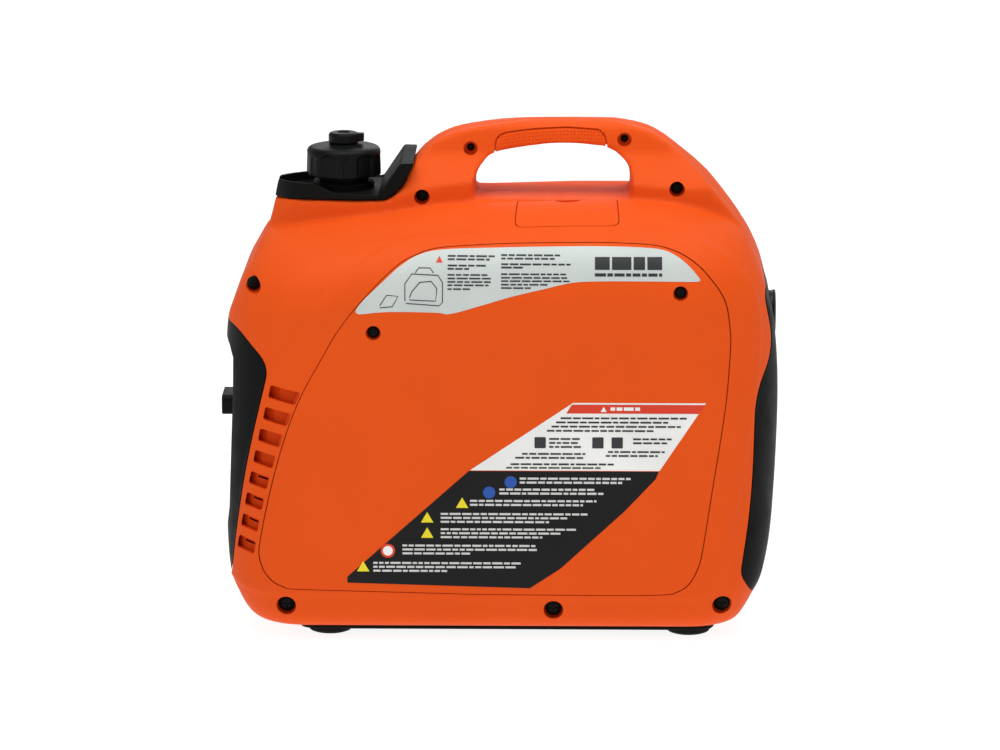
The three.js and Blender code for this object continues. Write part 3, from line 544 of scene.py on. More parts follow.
# ---------------- fasteners and vents
# Each screw pocket: x, z, radius and how far it goes in.
POCKETS = {
    "handle_left": (-26, 427, 6.4, 9), "handle_right": (112, 435, 6.4, 9), "leg_left": (-69, 387, 7, 14),
    "leg_right": (159, 394, 7, 14), "corner": (-217, 318, 7.5, 12), "foot_left": (-188, 34, 8.8, 11),
    "foot_middle": (50, 31, 8.8, 11), "foot_right": (200, 35, 8.8, 11),
}
HANDLE_SCREW_HEAD = 3.4
COVER_SCREWS = [centre_of(f"panel_screw_{i}")[::2] for i in (1, 2)]
VENT_COUNT = 8
VENT_PITCH = 20.1
VENT_HEIGHT = 11.8
VENT_SLOPE = 0.2
# How deep a vent is at each share of its width, from the black end on.
VENT_DEPTHS = ((0, 11), (0.3, 8), (0.36, 6.6), (1, 6))
SLOTTED_VENTS = (4, 5, 6, 7)
SLOT_HEIGHT = 1.8


def vent_top(i):
    return 235 - VENT_PITCH * i


def vent_sides(i, h):
    """The left and right ends of a vent at that height."""
    left = -200 - (235 - h) * 0.215 - 1.5 * math.sin(i / (VENT_COUNT - 1) * math.pi)
    right = -173.5 - (229 - h) * 0.44 + ((229 - h) / 140) ** 2 * 20
    return left, right


def vent_outline(i):
    top = vent_top(i)
    low_left, high_left = vent_sides(i, top - VENT_HEIGHT)[0], vent_sides(i, top)[0]
    drop = VENT_SLOPE * (vent_sides(i, top)[1] - high_left)
    low_right, high_right = vent_sides(i, top - drop - VENT_HEIGHT)[1], vent_sides(i, top - drop)[1]
    corners = [(low_left, top - VENT_HEIGHT), (low_right, top - drop - VENT_HEIGHT),
               (high_right, top - drop), (high_left, top)]
    return rounded(corners, 2.2, 4)


def outward(side, near, far):
    """A span of y from near to far on that side, lowest first."""
    return (-far, -near) if side < 0 else (near, far)


def pocket_floor(x, z, sink, side):
    """Where along y a pocket ends that goes that far in from the surface."""
    return skin_depth(x, z, side) - sink


def pocket_cutters(side):
    return [
        prism("pocket", circle(x, z, r), "y", *outward(side, pocket_floor(x, z, sink, side), BEYOND))
        for x, z, r, sink in POCKETS.values()
    ]


def vent_cutters(side):
    return [prism("vent", vent_outline(i), "y", *outward(side, 90, BEYOND)) for i in range(VENT_COUNT)]


def vent_lining(i, side):
    """The blind recess behind one vent: a deep end towards the black panel, then a shallow floor."""
    outline = vent_outline(i)
    xs = [x for x, _ in outline]
    zs = [z for _, z in outline]
    x0, x1 = min(xs), max(xs)
    middle = ((x0 + x1) / 2, (min(zs) + max(zs)) / 2)

    def floor(x):
        share = (x - x0) / (x1 - x0)
        sink = np.interp(share, [at for at, _ in VENT_DEPTHS], [depth for _, depth in VENT_DEPTHS])
        return skin_depth(x, middle[1], side) - sink

    steps = [x0 + (x1 - x0) * k / 24 for k in range(25)]
    inner = [(x, side * floor(x)) for x in steps]
    hollow = prism("hollow", inner + [(x1, side * BEYOND), (x0, side * BEYOND)], "z", min(zs), max(zs))
    thickness, margin = 2, 3
    left, right = x0 - margin, x1 + margin
    outer = [(x, side * (floor(x) - thickness)) for x in (left, *steps, right)]
    solid = prism(f"vent_lining_{i}", outer + [(right, side * HALF_WIDTH), (left, side * HALF_WIDTH)],
                  "z", min(zs) - margin, max(zs) + margin)
    cut(solid, [meet(hollow, [prism("bore", outline, "y", *outward(side, INSIDE, BEYOND))])])
    meet(solid, [CAVITY], keep=True)
    if i in SLOTTED_VENTS:
        top = vent_top(i) - 2.6
        slope = [(x, top - VENT_SLOPE * (x - x0)) for x in (x0 + 0.44 * (x1 - x0), x1 - 1.4)]
        slot = slope + [(x, z - SLOT_HEIGHT) for x, z in reversed(slope)]
        cut(solid, [prism("slot", slot, "y", *outward(side, INSIDE, HALF_WIDTH - 2))])
    # The lining takes the darker orange: painted shade inside the vent.
    return finished(drop_loose(solid), SHADED_ORANGE)


def cross_screw(name, x, z, y, side, r, body):
    """A pan-head screw with a cross recess, its head's face at y."""
    at = (x, side * y, z)
    profile = [(0, 0), (r * 0.45, 0), (r * 0.8, -0.5), (r, -1.4), (r, -3), (0, -3)]
    head = turned(name, [(pr, side * h) for pr, h in profile], "y", at, 40)
    arm = r * 0.5
    cutters = [
        slab("arm", (x - w, x + w), sorted((side * (y - 1.8), side * (y + 2))), (z - h, z + h))
        for w, h in ((arm, r * 0.11), (r * 0.11, arm))
    ]
    cut(head, cutters)
    return finished(head, SATIN_BLACK, body)


def pocket_lining(name, x, z, r, depth, side):
    """The moulded cup behind a pocket that goes through the skin."""
    cup = prism(name, circle(x, z, r + 1.6), "y", *outward(side, depth - 3, HALF_WIDTH))
    cut(cup, [prism("bore", circle(x, z, r - 0.05), "y", *outward(side, depth, BEYOND))])
    meet(cup, [CAVITY], keep=True)
    # The cup takes the darker orange: painted shade inside the pocket.
    return finished(cup, SHADED_ORANGE)


def fasteners(side):
    label = "rear" if side < 0 else "front"
    for name, (x, z, r, sink) in POCKETS.items():
        depth = pocket_floor(x, z, sink, side)
        head = HANDLE_SCREW_HEAD if name.startswith("handle") else r - 1.4
        cross_screw(f"screw_{label}_{name}", x, z, depth + 2.6, side, head, "frame")
        if depth > 50:
            pocket_lining(f"cup_{label}_{name}", x, z, r, depth, side)
    for i in range(VENT_COUNT):
        vent_lining(i, side)


# ---------------- the two shells, the cover and the hatch
def cover_prism(shrink=0.0):
    centre = (0, 205)
    k = 1 - shrink / 205
    return prism("cover", grown(SERVICE_COVER, centre, k, k), "y", -BEYOND, -INSIDE)


def hatch_prism(shrink=0.0):
    low, high = in_design("spark_plug_hatch")
    x0, x1, y0, y1 = low[0] + shrink, high[0] - shrink, low[1] + shrink, high[1] - shrink
    outline = rounded([(x0, y0, 9), (x1, y0, 9), (x1 - 2, y1, 2), (x0 + 2, y1, 2)], 4)
    return prism("hatch", outline, "z", 340, 420)


def end_regions():
    return [prism("end", moved(CONTROL_END, SEAM), "y", -BEYOND, BEYOND),
            prism("end", moved(EXHAUST_END, -SEAM), "y", -BEYOND, BEYOND)]


def tray_well():
    low, high = in_design("base_tray")
    return slab("well", (low[0] + 8, high[0] - 8), (low[1] + 21, high[1] - 21), (0, 30))


def filler_well():
    outline = grown(spine_plan(TIP_HIGH), (-130, 0), 0.93, 0.9)
    return meet(prism("well", outline, "z", 330, 400), [slab("span", (-196, -93), (-60, 60), (330, 400))])


def side_shell(name, side, extra):
    shell = copy_of(ENVELOPE, name)
    cut(shell, [CAVITY], keep=True)
    meet(shell, [half_space(side)])
    cutters = end_regions() + [tray_well(), filler_well(), grip_recess()]
    cutters += pocket_cutters(side) + vent_cutters(side) + extra
    cut(shell, cutters)
    return drop_loose(shell)


def rear_shell():
    shell = side_shell("rear_shell_moulding", -1, [cover_prism(-SEAM / 2), hatch_prism(-SEAM / 2)])
    finished(shell, ORANGE, stands_for=["rear_shell"])


def grip_pocket_outline(shrink=0.0):
    low, high = in_design("grip_pocket")
    x0, x1, z0, z1 = low[0] + shrink, high[0] - shrink, low[2] + shrink, high[2] - shrink
    return rounded([(x0, z0), (x1, z0), (x1, z1), (x0, z1)], 12)


def front_shell():
    hole = prism("grip hole", grip_pocket_outline(-0.5), "y", 120, BEYOND)
    shell = side_shell("front_shell_moulding", 1, [hole])
    finished(shell, ORANGE, stands_for=["front_shell"])


COVER_HOLE = 6.6
COVER_HOLE_SINK = 7


def service_cover():
    cover = copy_of(ENVELOPE, "service_cover_moulding")
    cut(cover, [CAVITY], keep=True)
    meet(cover, [half_space(-1), cover_prism(SEAM / 2)])
    cut(cover, [prism("hole", circle(x, z, COVER_HOLE), "y", -BEYOND, -INSIDE) for x, z in COVER_SCREWS])
    drop_loose(cover)
    finished(cover, ORANGE, "service_cover", stands_for=["service_panel"])
    for i, (x, z) in enumerate(COVER_SCREWS):
        depth = skin_depth(x, z) - COVER_HOLE_SINK
        cup = prism(f"cover_cup_{i}", circle(x, z, COVER_HOLE + 1.6), "y", -HALF_WIDTH, -depth + 3)
        cut(cup, [prism("bore", circle(x, z, COVER_HOLE - 0.1), "y", -BEYOND, -depth)])
        meet(cup, [CAVITY], keep=True)
        finished(cup, ORANGE, "service_cover")
        screw = cross_screw(f"cover_screw_{i}", x, z, depth + 2.8, -1, COVER_HOLE - 1.3, "service_cover")
        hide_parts(f"panel_screw_{i + 1}")


def spark_plug_hatch():
    hatch = copy_of(ENVELOPE, "hatch_moulding")
    cut(hatch, [CAVITY], keep=True)
    meet(hatch, [half_space(-1), hatch_prism(SEAM / 2)])
    notch = turned("notch", [(0, -4), (10, -2.8), (15, 0), (10, 2.8), (0, 4)], "z", (61, -42, CREST + 1), 48)
    cut(hatch, [notch])
    finished(drop_loose(hatch), ORANGE, "hatch", stands_for=["spark_plug_hatch"])


REBATE = 4.5
REBATE_THICKNESS = 2.4


def seam_rebates():
    """Ledges inside the shell, behind the seams of the cover and the hatch."""
    inner = body_volume("inner", WALL + REBATE_THICKNESS, 40)
    for name, region in (("cover_rebate", cover_prism), ("hatch_rebate", hatch_prism)):
        ledge = copy_of(CAVITY, name)
        cut(ledge, [inner], keep=True)
        meet(ledge, [half_space(-1), region(-REBATE)])
        cut(ledge, [region(REBATE)])
        finished(drop_loose(ledge), ORANGE)
    discard(inner)


# ---------------- black ends
PANEL_LOW, PANEL_HIGH = in_design("control_panel")


def control_cap():
    cap = copy_of(ENVELOPE, "control_cap_moulding")
    recess = prism(
        "face", [(-262, 88), (-244.6, 88), (-241, 113), (-236, 220), (-235.5, 252), (-239, 262),
                 (-244.6, 270), (-262, 270)],
        "y", -BEYOND, BEYOND)
    hollow = copy_of(CAVITY, "hollow")
    hollow.data.transform(Matrix.Translation((8 * MM, 0, 0)))
    y0, z0, y1, z1 = *PANEL_LOW[1:], *PANEL_HIGH[1:]
    window = prism("window", rounded([(y0, z0), (y1, z0), (y1, z1), (y0, z1)], 5), "x", -260, -200)
    meet(cap, [prism("end", CONTROL_END, "y", -BEYOND, BEYOND)])
    cut(cap, [recess, hollow, window])
    finished(drop_loose(cap), BLACK, stands_for=["control_cap"])


def panel_backing():
    """A black frame behind the panel's edge, so nothing shows through the gap round it."""
    rim = 7
    lap = 4
    near, far = PANEL_HIGH[0] + 0.3, PANEL_HIGH[0] + 2.3
    backing = slab("panel_backing", (near, far), (PANEL_LOW[1] - rim, PANEL_HIGH[1] + rim),
                   (PANEL_LOW[2] - rim, PANEL_HIGH[2] + rim))
    hole = slab("hole", (near - 2, far + 2), (PANEL_LOW[1] + lap, PANEL_HIGH[1] - lap),
                (PANEL_LOW[2] + lap, PANEL_HIGH[2] - lap))
    finished(cut(backing, [hole]), BLACK)


LOUVRES = 9
LOUVRE_PITCH = 15
LOUVRE_SPAN = (72, 232)


def exhaust_cap():
    cap = copy_of(ENVELOPE, "exhaust_cap_moulding")
    meet(cap, [prism("end", EXHAUST_END, "y", -BEYOND, BEYOND)])
    outlet = centre_of("exhaust_outlet")
    slots = []
    for i in range(LOUVRES):
        y = (i - (LOUVRES - 1) / 2) * LOUVRE_PITCH
        low, high = LOUVRE_SPAN
        slots.append(prism("slot", rounded([(y - 4, low), (y + 4, low), (y + 4, high), (y - 4, high)], 3.5),
                           "x", 200, 262))
    bore = prism("bore", circle(outlet[1], outlet[2], 23), "x", 200, 262)
    cut(cap, [copy_of(CAVITY, "hollow")] + slots + [bore])
    finished(drop_loose(cap), BLACK, stands_for=["exhaust_cap"])


def exhaust_outlet():
    low, high = in_design("exhaust_outlet")
    cy, cz = centre_of("exhaust_outlet")[1:]
    r = (high[1] - low[1]) / 2
    profile = [(0, low[0]), (r - 1, low[0]), (r, low[0] + 1), (r, high[0] - 3), (r + 0.8, high[0] - 1.6),
               (r, high[0]),
               (r - 2.4, high[0]), (r - 3, high[0] - 2), (r - 3, high[0] - 14), (0, high[0] - 14)]
    tube = turned("exhaust_outlet_tube", profile, "x", (0, cy, cz))
    finished(tube, DARK_STEEL, stands_for=["exhaust_outlet"])
    mesh_x = high[0] - 10
    for i in range(-4, 5):
        reach = math.sqrt(max(0, (r - 3) ** 2 - (i * 3.6) ** 2))
        for name, along in (("arrester_up", "z"), ("arrester_across", "y")):
            at = (mesh_x, cy + i * 3.6, cz) if along == "z" else (mesh_x - 0.9, cy, cz + i * 3.6)
            wire = turned(f"{name}_{i + 4}", [(0, -reach), (0.5, -reach), (0.5, reach), (0, reach)], along,
                          at, 8)
            finished(wire, STEEL)


# ---------------- filler: surround, cap and vent lever
CAP_LOW, CAP_HIGH = in_design("fuel_cap")
CAP_X = (CAP_LOW[0] + CAP_HIGH[0]) / 2
CAP_R = (CAP_HIGH[0] - CAP_LOW[0]) / 2
CAP_FLUTES = 6
CAP_PHASE = math.radians(8.2)
CAP_STEPS = 240
# Each set of flutes: where it lies in the repeat, its half-width, its depth and the height it reaches.
FLUTES = ((0, 0.27, 1.8, 21.5), (0.5, 0.11, 0.9, 19.5))


def tank_surround():
    plan = spine_plan(TIP_HIGH)
    side = rounded([(-203, 380.3), (-150, 384), (-103, 385.5), (-95, 389.5), (-87, 397.5), (-80.5, 409),
                    (-75.5, 418), (-88, 418), (-107, 389.5), (-147, 389.5), (-164, 396.5),
                    (-199.5, 396.5)], 2, 5)
    tray = meet(prism("tank_surround_tray", side, "y", -70, 70), [prism("plan", plan, "z", 360, 430)])
    bowl = meet(prism("bowl", grown(plan, (-141, 0), 0.94, 0.93), "z", 388, 430),
                [slab("span", (-202, -107), (-60, 60), (380, 430))])
    cut(tray, [bowl, prism("neck hole", circle(CAP_X, 0, 27), "z", 350, 430)])
    moulded(tray, 0.8, 3)
    finished(tray, BLACK, stands_for=["tank_surround"])
    collar = turned("filler_collar",
                    [(0, 384), (27.6, 384), (27.6, 393), (26, 395), (23, 395), (22.3, 394), (22.3, 386),
                     (0, 386)],
                    "z", (CAP_X, 0, 0))
    finished(collar, SATIN_BLACK)


def ramp(value, width):
    """A smooth rise from 0 to 1 over that width."""
    t = min(1, max(0, value / width))
    return t * t * (3 - 2 * t)


def flute_depth(angle, height):
    """How far the cap's skirt is cut in: wide flutes with arched tops, and a narrow one on each rib."""
    turn = abs(((angle - CAP_PHASE) * CAP_FLUTES / (2 * math.pi) + 0.5) % 1 - 0.5)
    depth = 0
    for centre, half, deep, reach in FLUTES:
        across = abs(turn - centre) / half
        if across < 1:
            arch = reach - 4 * across ** 2
            depth = max(depth, deep * ramp(1 - across, 0.3) * ramp(arch - height, 1.6))
    return depth


def fluted_ring(share, z, height):
    ring = []
    for i in range(CAP_STEPS):
        angle = 2 * math.pi * i / CAP_STEPS
        reach = CAP_R * share - (flute_depth(angle, height) if height is not None else 0)
        ring.append((CAP_X + reach * math.cos(angle), reach * math.sin(angle), z))
    return ring


def fuel_cap():
    z = CAP_LOW[2]
    rise = CAP_HIGH[2] - z
    profile = smooth_through(
        [(0.985, 0), (0.998, 0.9), (1.0, 3), (0.995, 10), (0.985, 18), (0.978, 20.8), (0.958, 22.8),
         (0.92, 24.3), (0.86, 25.3), (0.74, 26.2), (0.6, 27), (0.44, 27.7), (0.3, 28)], 110)
    rings = [fluted_ring(share, z + height * rise / 28, height) for share, height in profile]
    under = [fluted_ring(0.84, z + 22, None), fluted_ring(0.86, z, None)]
    cap = loft("fuel_cap_shell", under + rings)
    finished(cap, SATIN_BLACK, "cap_shell", stands_for=["fuel_cap"])


def vent_lever():
    low, high = in_design("vent_lever")
    r = (high[1] - low[1]) / 2
    base, top = low[2], high[2]
    profile = [(0, base), (r - 0.6, base), (r, base + 0.7), (r, top - 2.6), (r - 0.8, top - 1),
               (r - 2.2, top - 0.2), (r - 4, top), (6.4, top), (5.6, top - 0.6), (5, top - 2), (0, top - 2.2)]
    knob = turned("vent_knob", profile, "z", (CAP_X, 0, 0))
    tip = high[0]
    lug = prism("lug", rounded([(CAP_X + 9, -4.4), (tip, -3.2), (tip, 3.2), (CAP_X + 9, 4.4)], 2.4), "z",
                base + 1.4, top - 1)
    join(knob, [lug])
    moulded(knob, 0.45, 2)
    finished(knob, SATIN_BLACK, "vent", stands_for=["vent_lever"])


# ---------------- panel controls
def engine_switch():
    low, high = in_design("engine_switch")
    y, z = (low[1] + high[1]) / 2, (low[2] + high[2]) / 2
    r = (high[1] - low[1]) / 2
    face = PANEL_LOW[0]
    disc = turned("engine_switch_knob",
                  [(0, face - 0.3), (r, face - 0.3), (r, face - 2), (r - 1.4, face - 4), (0, face - 4)], "x",
                  (0, y, z))
    bar = prism("bar", rounded([(y - 21, z - 6), (y - 18, z - 9), (y + 18, z - 9), (y + 21, z - 6),
                                (y + 21, z + 6), (y + 18, z + 9),
                                (y - 18, z + 9), (y - 21, z + 6)], 2), "x", low[0], face - 3)
    join(disc, [bar])
    moulded(disc, 0.6, 3)
    finished(disc, SATIN_BLACK, "switch_knob", stands_for=["engine_switch"])
    mark = slab("switch_mark", (low[0] - 0.15, low[0] + 0.3), (y + 10, y + 18), (z - 0.9, z + 0.9))
    finished(mark, WHITE_LABEL, "switch_knob")


def panel_trim():
    """Printed marks beside the controls: plain bars and dots only."""
    x = PANEL_LOW[0]
    low, high = in_design("engine_switch")
    y0, z0 = (low[1] + high[1]) / 2, (low[2] + high[2]) / 2
    for i, angle in enumerate((0, 45, 90)):
        a = math.radians(angle)
        dot = turned(f"switch_stop_{i}", [(0, x - 0.2), (1.3, x - 0.2), (1.3, x + 0.2), (0, x + 0.2)], "x",
                     (0, y0 + 28 * math.cos(a), z0 + 28 * math.sin(a)), 20)
        finished(dot, WHITE_LABEL)
    for i, node in enumerate(("ac_breaker", "dc_breaker", "dc_socket", "eco_switch", "ground_stud")):
        cy, cz = centre_of(node)[1:]
        drop = in_design(node)[0][2] - 4.5
        bar = slab(f"printed_bar_{i}", (x - 0.15, x + 0.2), (cy - 7, cy + 7), (drop - 1.2, drop))
        finished(bar, WHITE_LABEL)


def recoil_grip():
    low, high = in_design("recoil_grip")
    x0, x1, y1, z0, z1 = low[0], high[0], high[1], low[2], high[2]
    bar = prism("starter_grip", rounded([(x0, z0), (x1, z0), (x1, z1), (x0, z1)], 9), "y", 128, y1)
    rope = centre_of("rope_outside")
    neck = turned("neck", [(0, 124), (6, 124), (8.5, 129.5), (0, 129.5)], "y", (rope[0], 0, rope[2]))
    join(bar, [neck])
    moulded(bar, 0.9, 4)
    finished(bar, SATIN_BLACK, "starter_handle", stands_for=["recoil_grip"])


def starter_rope():
    """The rope between the guide and the grip, at one fixed length."""
    low, high = in_design("rope_outside")
    x, z = (low[0] + high[0]) / 2, (low[2] + high[2]) / 2
    r = (high[0] - low[0]) / 2
    turns = 60
    rings = []
    for i in range(turns + 1):
        y = low[1] - 4 + (high[1] - low[1] + 5) * i / turns
        rings.append([(x + (r - 0.25 + 0.25 * math.cos(3 * a + i)) * math.cos(a), y,
                       z + (r - 0.25 + 0.25 * math.cos(3 * a + i)) * math.sin(a))
                      for a in np.linspace(0, 2 * math.pi, 24, endpoint=False)])
    rope = loft("starter_rope", rings)
    rope.data.shade_smooth()
    rope.data.materials.append(BLACK)
    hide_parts("rope_outside")
    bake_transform(rope)


# ---------------- base and feet
def base_tray():
    """A shallow tray under the shells, with the posts that the engine stands on."""
    low, high = in_design("base_tray")
    outline = rounded([(low[0], low[1]), (high[0], low[1]), (high[0], high[1]), (low[0], high[1])], 16)
    centre = ((low[0] + high[0]) / 2, 0)
    top = SHELL_BOTTOM - 0.4
    rings = []
    for inset, z in ((3, low[2]), (0.8, low[2] + 0.8), (0, low[2] + 2), (0, top)):
        kx, ky = (1 - inset / reach for reach in (high[0] - centre[0], high[1]))
        rings.append([(x, y, z) for x, y in grown(outline, centre, kx, ky)])
    tray = loft("base_tray_moulding", rings)
    posts = []
    for i in range(1, 5):
        x, y, _ = centre_of(f"engine_mount_{i}")
        posts.append(turned("post", [(0, top - 1), (12, top - 1), (11, high[2]), (0, high[2])], "z",
                            (x, y, 0)))
    join(tray, posts)
    finished(tray, BLACK, stands_for=["base_tray"])


def feet():
    for node in ("foot_rear_left", "foot_rear_right", "foot_front_left", "foot_front_right"):
        low, high = in_design(node)
        r = (high[0] - low[0]) / 2
        top = high[2]
        x, y = (low[0] + high[0]) / 2, (low[1] + high[1]) / 2
        profile = [(0, 1.4), (r * 0.4, 1.4), (r * 0.48, 0), (r * 0.8, 0), (r * 0.93, 1), (r, top * 0.5),
                   (r, top), (0, top)]
        finished(turned(f"{node}_rubber", profile, "z", (x, y, 0)), RUBBER, stands_for=[node])


# ---------------- labels
def finer(outline, step):
    """The outline with no two neighbours further apart than the step."""
    out = []
    for i, (x, z) in enumerate(outline):
        nx, nz = outline[(i + 1) % len(outline)]
        parts = max(1, math.ceil(math.hypot(nx - x, nz - z) / step))
        out += [(x + (nx - x) * k / parts, z + (nz - z) * k / parts) for k in range(parts)]
    return out


def decal(name, outline, lift, material, grid=3.5):
    """A thin sticker that lies on the cover's outer surface."""
    outline = finer(outline, grid)
    xs, zs = [p[0] for p in outline], [p[1] for p in outline]
    points = [Vector(p) for p in outline]
    count = len(points)
    for x in np.arange(min(xs) + grid / 2, max(xs), grid):
        for z in np.arange(min(zs) + grid / 2, max(zs), grid):
            points.append(Vector((x, z)))
    edges = [(i, (i + 1) % count) for i in range(count)]
    found, _, faces, *_ = delaunay_2d_cdt(points, edges, [], 1, 1e-4)
    solid_points = [(p.x, -skin_depth(p.x, p.y) - lift, p.y) for p in found]
    obj = mesh_object(name, solid_points, [tuple(face) for face in faces])
    thick = obj.modifiers.new("thickness", "SOLIDIFY")
    thick.thickness = 0.12 * MM
    bake(obj)
    return finished(obj, material, "service_cover")


def bar_outline(x, z, length, height, lean=0.0):
    return [(x, z), (x + length, z), (x + length + lean, z + height), (x + lean, z + height)]


def print_lines(name, rows, material, lift, seed):
    """Rows of plain dashes in place of print. Each row is x, z, length and height."""
    draw = np.random.default_rng(seed)
    for r, (x, z, length, height) in enumerate(rows):
        points, faces = [], []
        at = x
        while at < x + length - 2:
            word = min(draw.uniform(3.5, 10), x + length - at)
            quad = bar_outline(at, z, word, height)
            faces.append(tuple(range(len(points), len(points) + 4)))
            points += [(px, -skin_depth(px, pz) - lift, pz) for px, pz in quad]
            at += word + 1.3
        obj = mesh_object(f"{name}_{r}", points, faces)
        thick = obj.modifiers.new("thickness", "SOLIDIFY")
        thick.thickness = 0.06 * MM
        bake(obj)
        finished(obj, material, "service_cover")


def triangle(x, z, size):
    return [(x - size / 2, z), (x + size / 2, z), (x, z + size * 0.87)]


# How far each layer of a label stands off the surface.
UNDER, OVER, TOP = 0.22, 0.42, 0.56
# A plain drawing in open lines: a box with a handle, and a blank leaflet.
SKETCH = {
    "body": [(-80, 310), (-51, 308), (-48, 311), (-48, 328), (-52, 334), (-75, 335), (-81, 327), (-81, 312)],
    "cover": [(-77, 313), (-54, 312), (-53, 323), (-58, 329), (-68, 328), (-75, 320), (-77, 315)],
    "handle": [(-72, 336), (-69, 340), (-59, 340), (-56, 336)],
    "leaflet": [(-103, 306), (-92, 307), (-87, 316), (-97, 317), (-103, 308)],
}


def stroke(points, width):
    """The outline of a line that wide drawn through the points."""
    left, right = [], []
    for i, (x, z) in enumerate(points):
        ax, az = points[max(i - 1, 0)]
        bx, bz = points[min(i + 1, len(points) - 1)]
        length = math.hypot(bx - ax, bz - az)
        across, up = (az - bz) / length * width / 2, (bx - ax) / length * width / 2
        left.append((x + across, z + up))
        right.append((x - across, z - up))
    return left + right[::-1]


def swoosh_label():
    top = smooth_through([(-117, 313), (-103, 326), (-85.6, 341), (-68, 350.5), (-45, 354.6), (4, 356.4),
                          (49, 357.4), (93, 357.8), (138, 356.2), (156, 351), (169, 341.5), (177.5, 332)], 50)
    bottom = smooth_through([(173.5, 329.2), (138, 329.6), (93, 329.6), (66, 328.3), (40, 322.5),
                             (13, 316.2), (-14, 308.2), (-41, 300.7), (-54, 301.8), (-95, 302.3),
                             (-121, 300)], 50)
    right_tip = [(178.4, 330.4), (177, 329.3)]
    left_tip = [(-123.6, 300.9), (-124.4, 303.2), (-122, 307.2)]
    decal("label_swoosh", top + right_tip + bottom + left_tip, UNDER, SILVER_LABEL)
    decal("label_swoosh_mark", triangle(-51, 344.4, 6), OVER, RED_INK, grid=3)
    left, middle = -43.6, 3.4
    print_lines("print_swoosh_left", [
        (left, 349, 42, 1.4), (left, 346.4, 37, 1.4), (left, 341.5, 34, 1.4), (left, 338.8, 22, 1.4),
        (left, 333.9, 35, 1.3), (left, 330.9, 38, 1.3), (left, 328, 38, 1.3), (left, 325.2, 36, 1.3),
        (left, 321.9, 22, 1.3)],
        DARK_INK, OVER, 1)
    print_lines("print_swoosh_middle", [
        (middle, 350, 54, 1.4), (middle, 347.3, 47, 1.4), (middle, 342.8, 61, 1.4), (middle, 340.1, 21, 1.4),
        (middle, 334.7, 57, 1.3), (middle, 331.7, 58, 1.3), (middle, 328.9, 60, 1.3),
        (middle, 325.9, 42, 1.3),
        (middle, 323, 26, 1.3)], DARK_INK, OVER, 2)
    for i, (x, length) in enumerate(((85.7, 13), (100.7, 17), (119.7, 10), (131.7, 13))):
        decal(f"label_swoosh_bar_{i}", bar_outline(x, 339.3, length, 10.4), OVER, DARK_INK, grid=3)
    print_lines("print_swoosh_under", [(85.7, 333.8, 59, 2.6)], DARK_INK, OVER, 10)
    for name, points in SKETCH.items():
        decal(f"label_sketch_{name}", stroke(points, 0.8), OVER, DARK_INK, grid=3)


def notice_label():
    decal("label_notice_white", rounded([(67, 221), (184, 221), (143.5, 159.6), (-24, 159.6)], 0.6), UNDER,
          WHITE_LABEL)
    decal("label_notice_black", rounded([(-25, 159), (143, 159), (140, 152), (113, 123), (56, 70), (29, 52),
                                         (-133, 56.5), (-133, 62)], 0.6),
          UNDER, BLACK_LABEL)
    decal("label_notice_bar", bar_outline(61, 211.5, 117, 8, 5), OVER, RED_INK)
    decal("label_notice_mark", triangle(94, 213, 5.4), TOP, WHITE_LABEL, grid=2)
    print_lines("print_notice_head", [(100, 214.2, 26, 3)], WHITE_LABEL, TOP, 3)
    print_lines("print_notice_top",
                [(56, 206.4, 112, 1.6), (52, 202.6, 100, 1.6), (48, 198.8, 114, 1.6), (44, 195, 96, 1.6)],
                DARK_INK, OVER, 4)
    print_lines("print_notice_left",
                [(46, 187.6, 30, 1.6), (46, 184, 26, 1.6), (46, 180.4, 28, 1.6), (22, 174, 56, 1.6),
                 (16, 170.4, 60, 1.6)],
                DARK_INK, OVER, 5)
    print_lines("print_notice_right",
                [(120, 187.6, 34, 1.6), (120, 184, 30, 1.6), (98, 176, 50, 1.6), (96, 172.4, 46, 1.6)],
                DARK_INK, OVER, 6)
    print_lines("print_notice_foot", [(12, 164.6, 92, 1.6), (8, 161.4, 84, 1.4)], DARK_INK, OVER, 7)
    for i, x in enumerate((33, 84, 101)):
        decal(f"label_notice_box_{i}", rounded([(x, 180), (x + 10, 180), (x + 10, 190), (x, 190)], 1), OVER,
              DARK_INK, grid=4)
    rows = [(20, 151.4, 98, 1.9), (20, 147.8, 92, 1.9), (2, 141.4, 84, 1.9), (2, 137.8, 92, 1.9),
            (-24, 131, 112, 1.8), (-24, 127.4, 100, 1.8), (-50, 119, 130, 1.8), (-50, 115.4, 112, 1.8),
            (-50, 111.8, 96, 1.8), (-50, 105, 120, 1.8), (-50, 101.4, 108, 1.8), (-50, 97.8, 90, 1.8),
            (-84, 90, 118, 1.8), (-84, 86.4, 122, 1.8), (-84, 82.8, 60, 1.8), (-110, 74, 134, 1.8),
            (-110, 70.4, 128, 1.8), (-110, 66.8, 66, 1.8)]
    print_lines("print_notice_dark", rows, PALE_INK, OVER, 8)
    for i, (x, z) in enumerate(((12, 149), (-7, 139.5))):
        decal(f"label_blue_{i}", circle(x, z, 5.4, 24), OVER, BLUE_INK, grid=3)
    for i, (x, z) in enumerate(((-31, 125.4), (-62, 112), (-62, 98), (-119, 67))):
        decal(f"label_yellow_{i}", triangle(x, z, 11), OVER, YELLOW_INK, grid=3)
    decal("label_disc", circle(-97, 86, 6.4, 28), OVER, RED_INK, grid=3)
    decal("label_disc_middle", circle(-97, 86, 4.4, 24), TOP, WHITE_LABEL, grid=3)


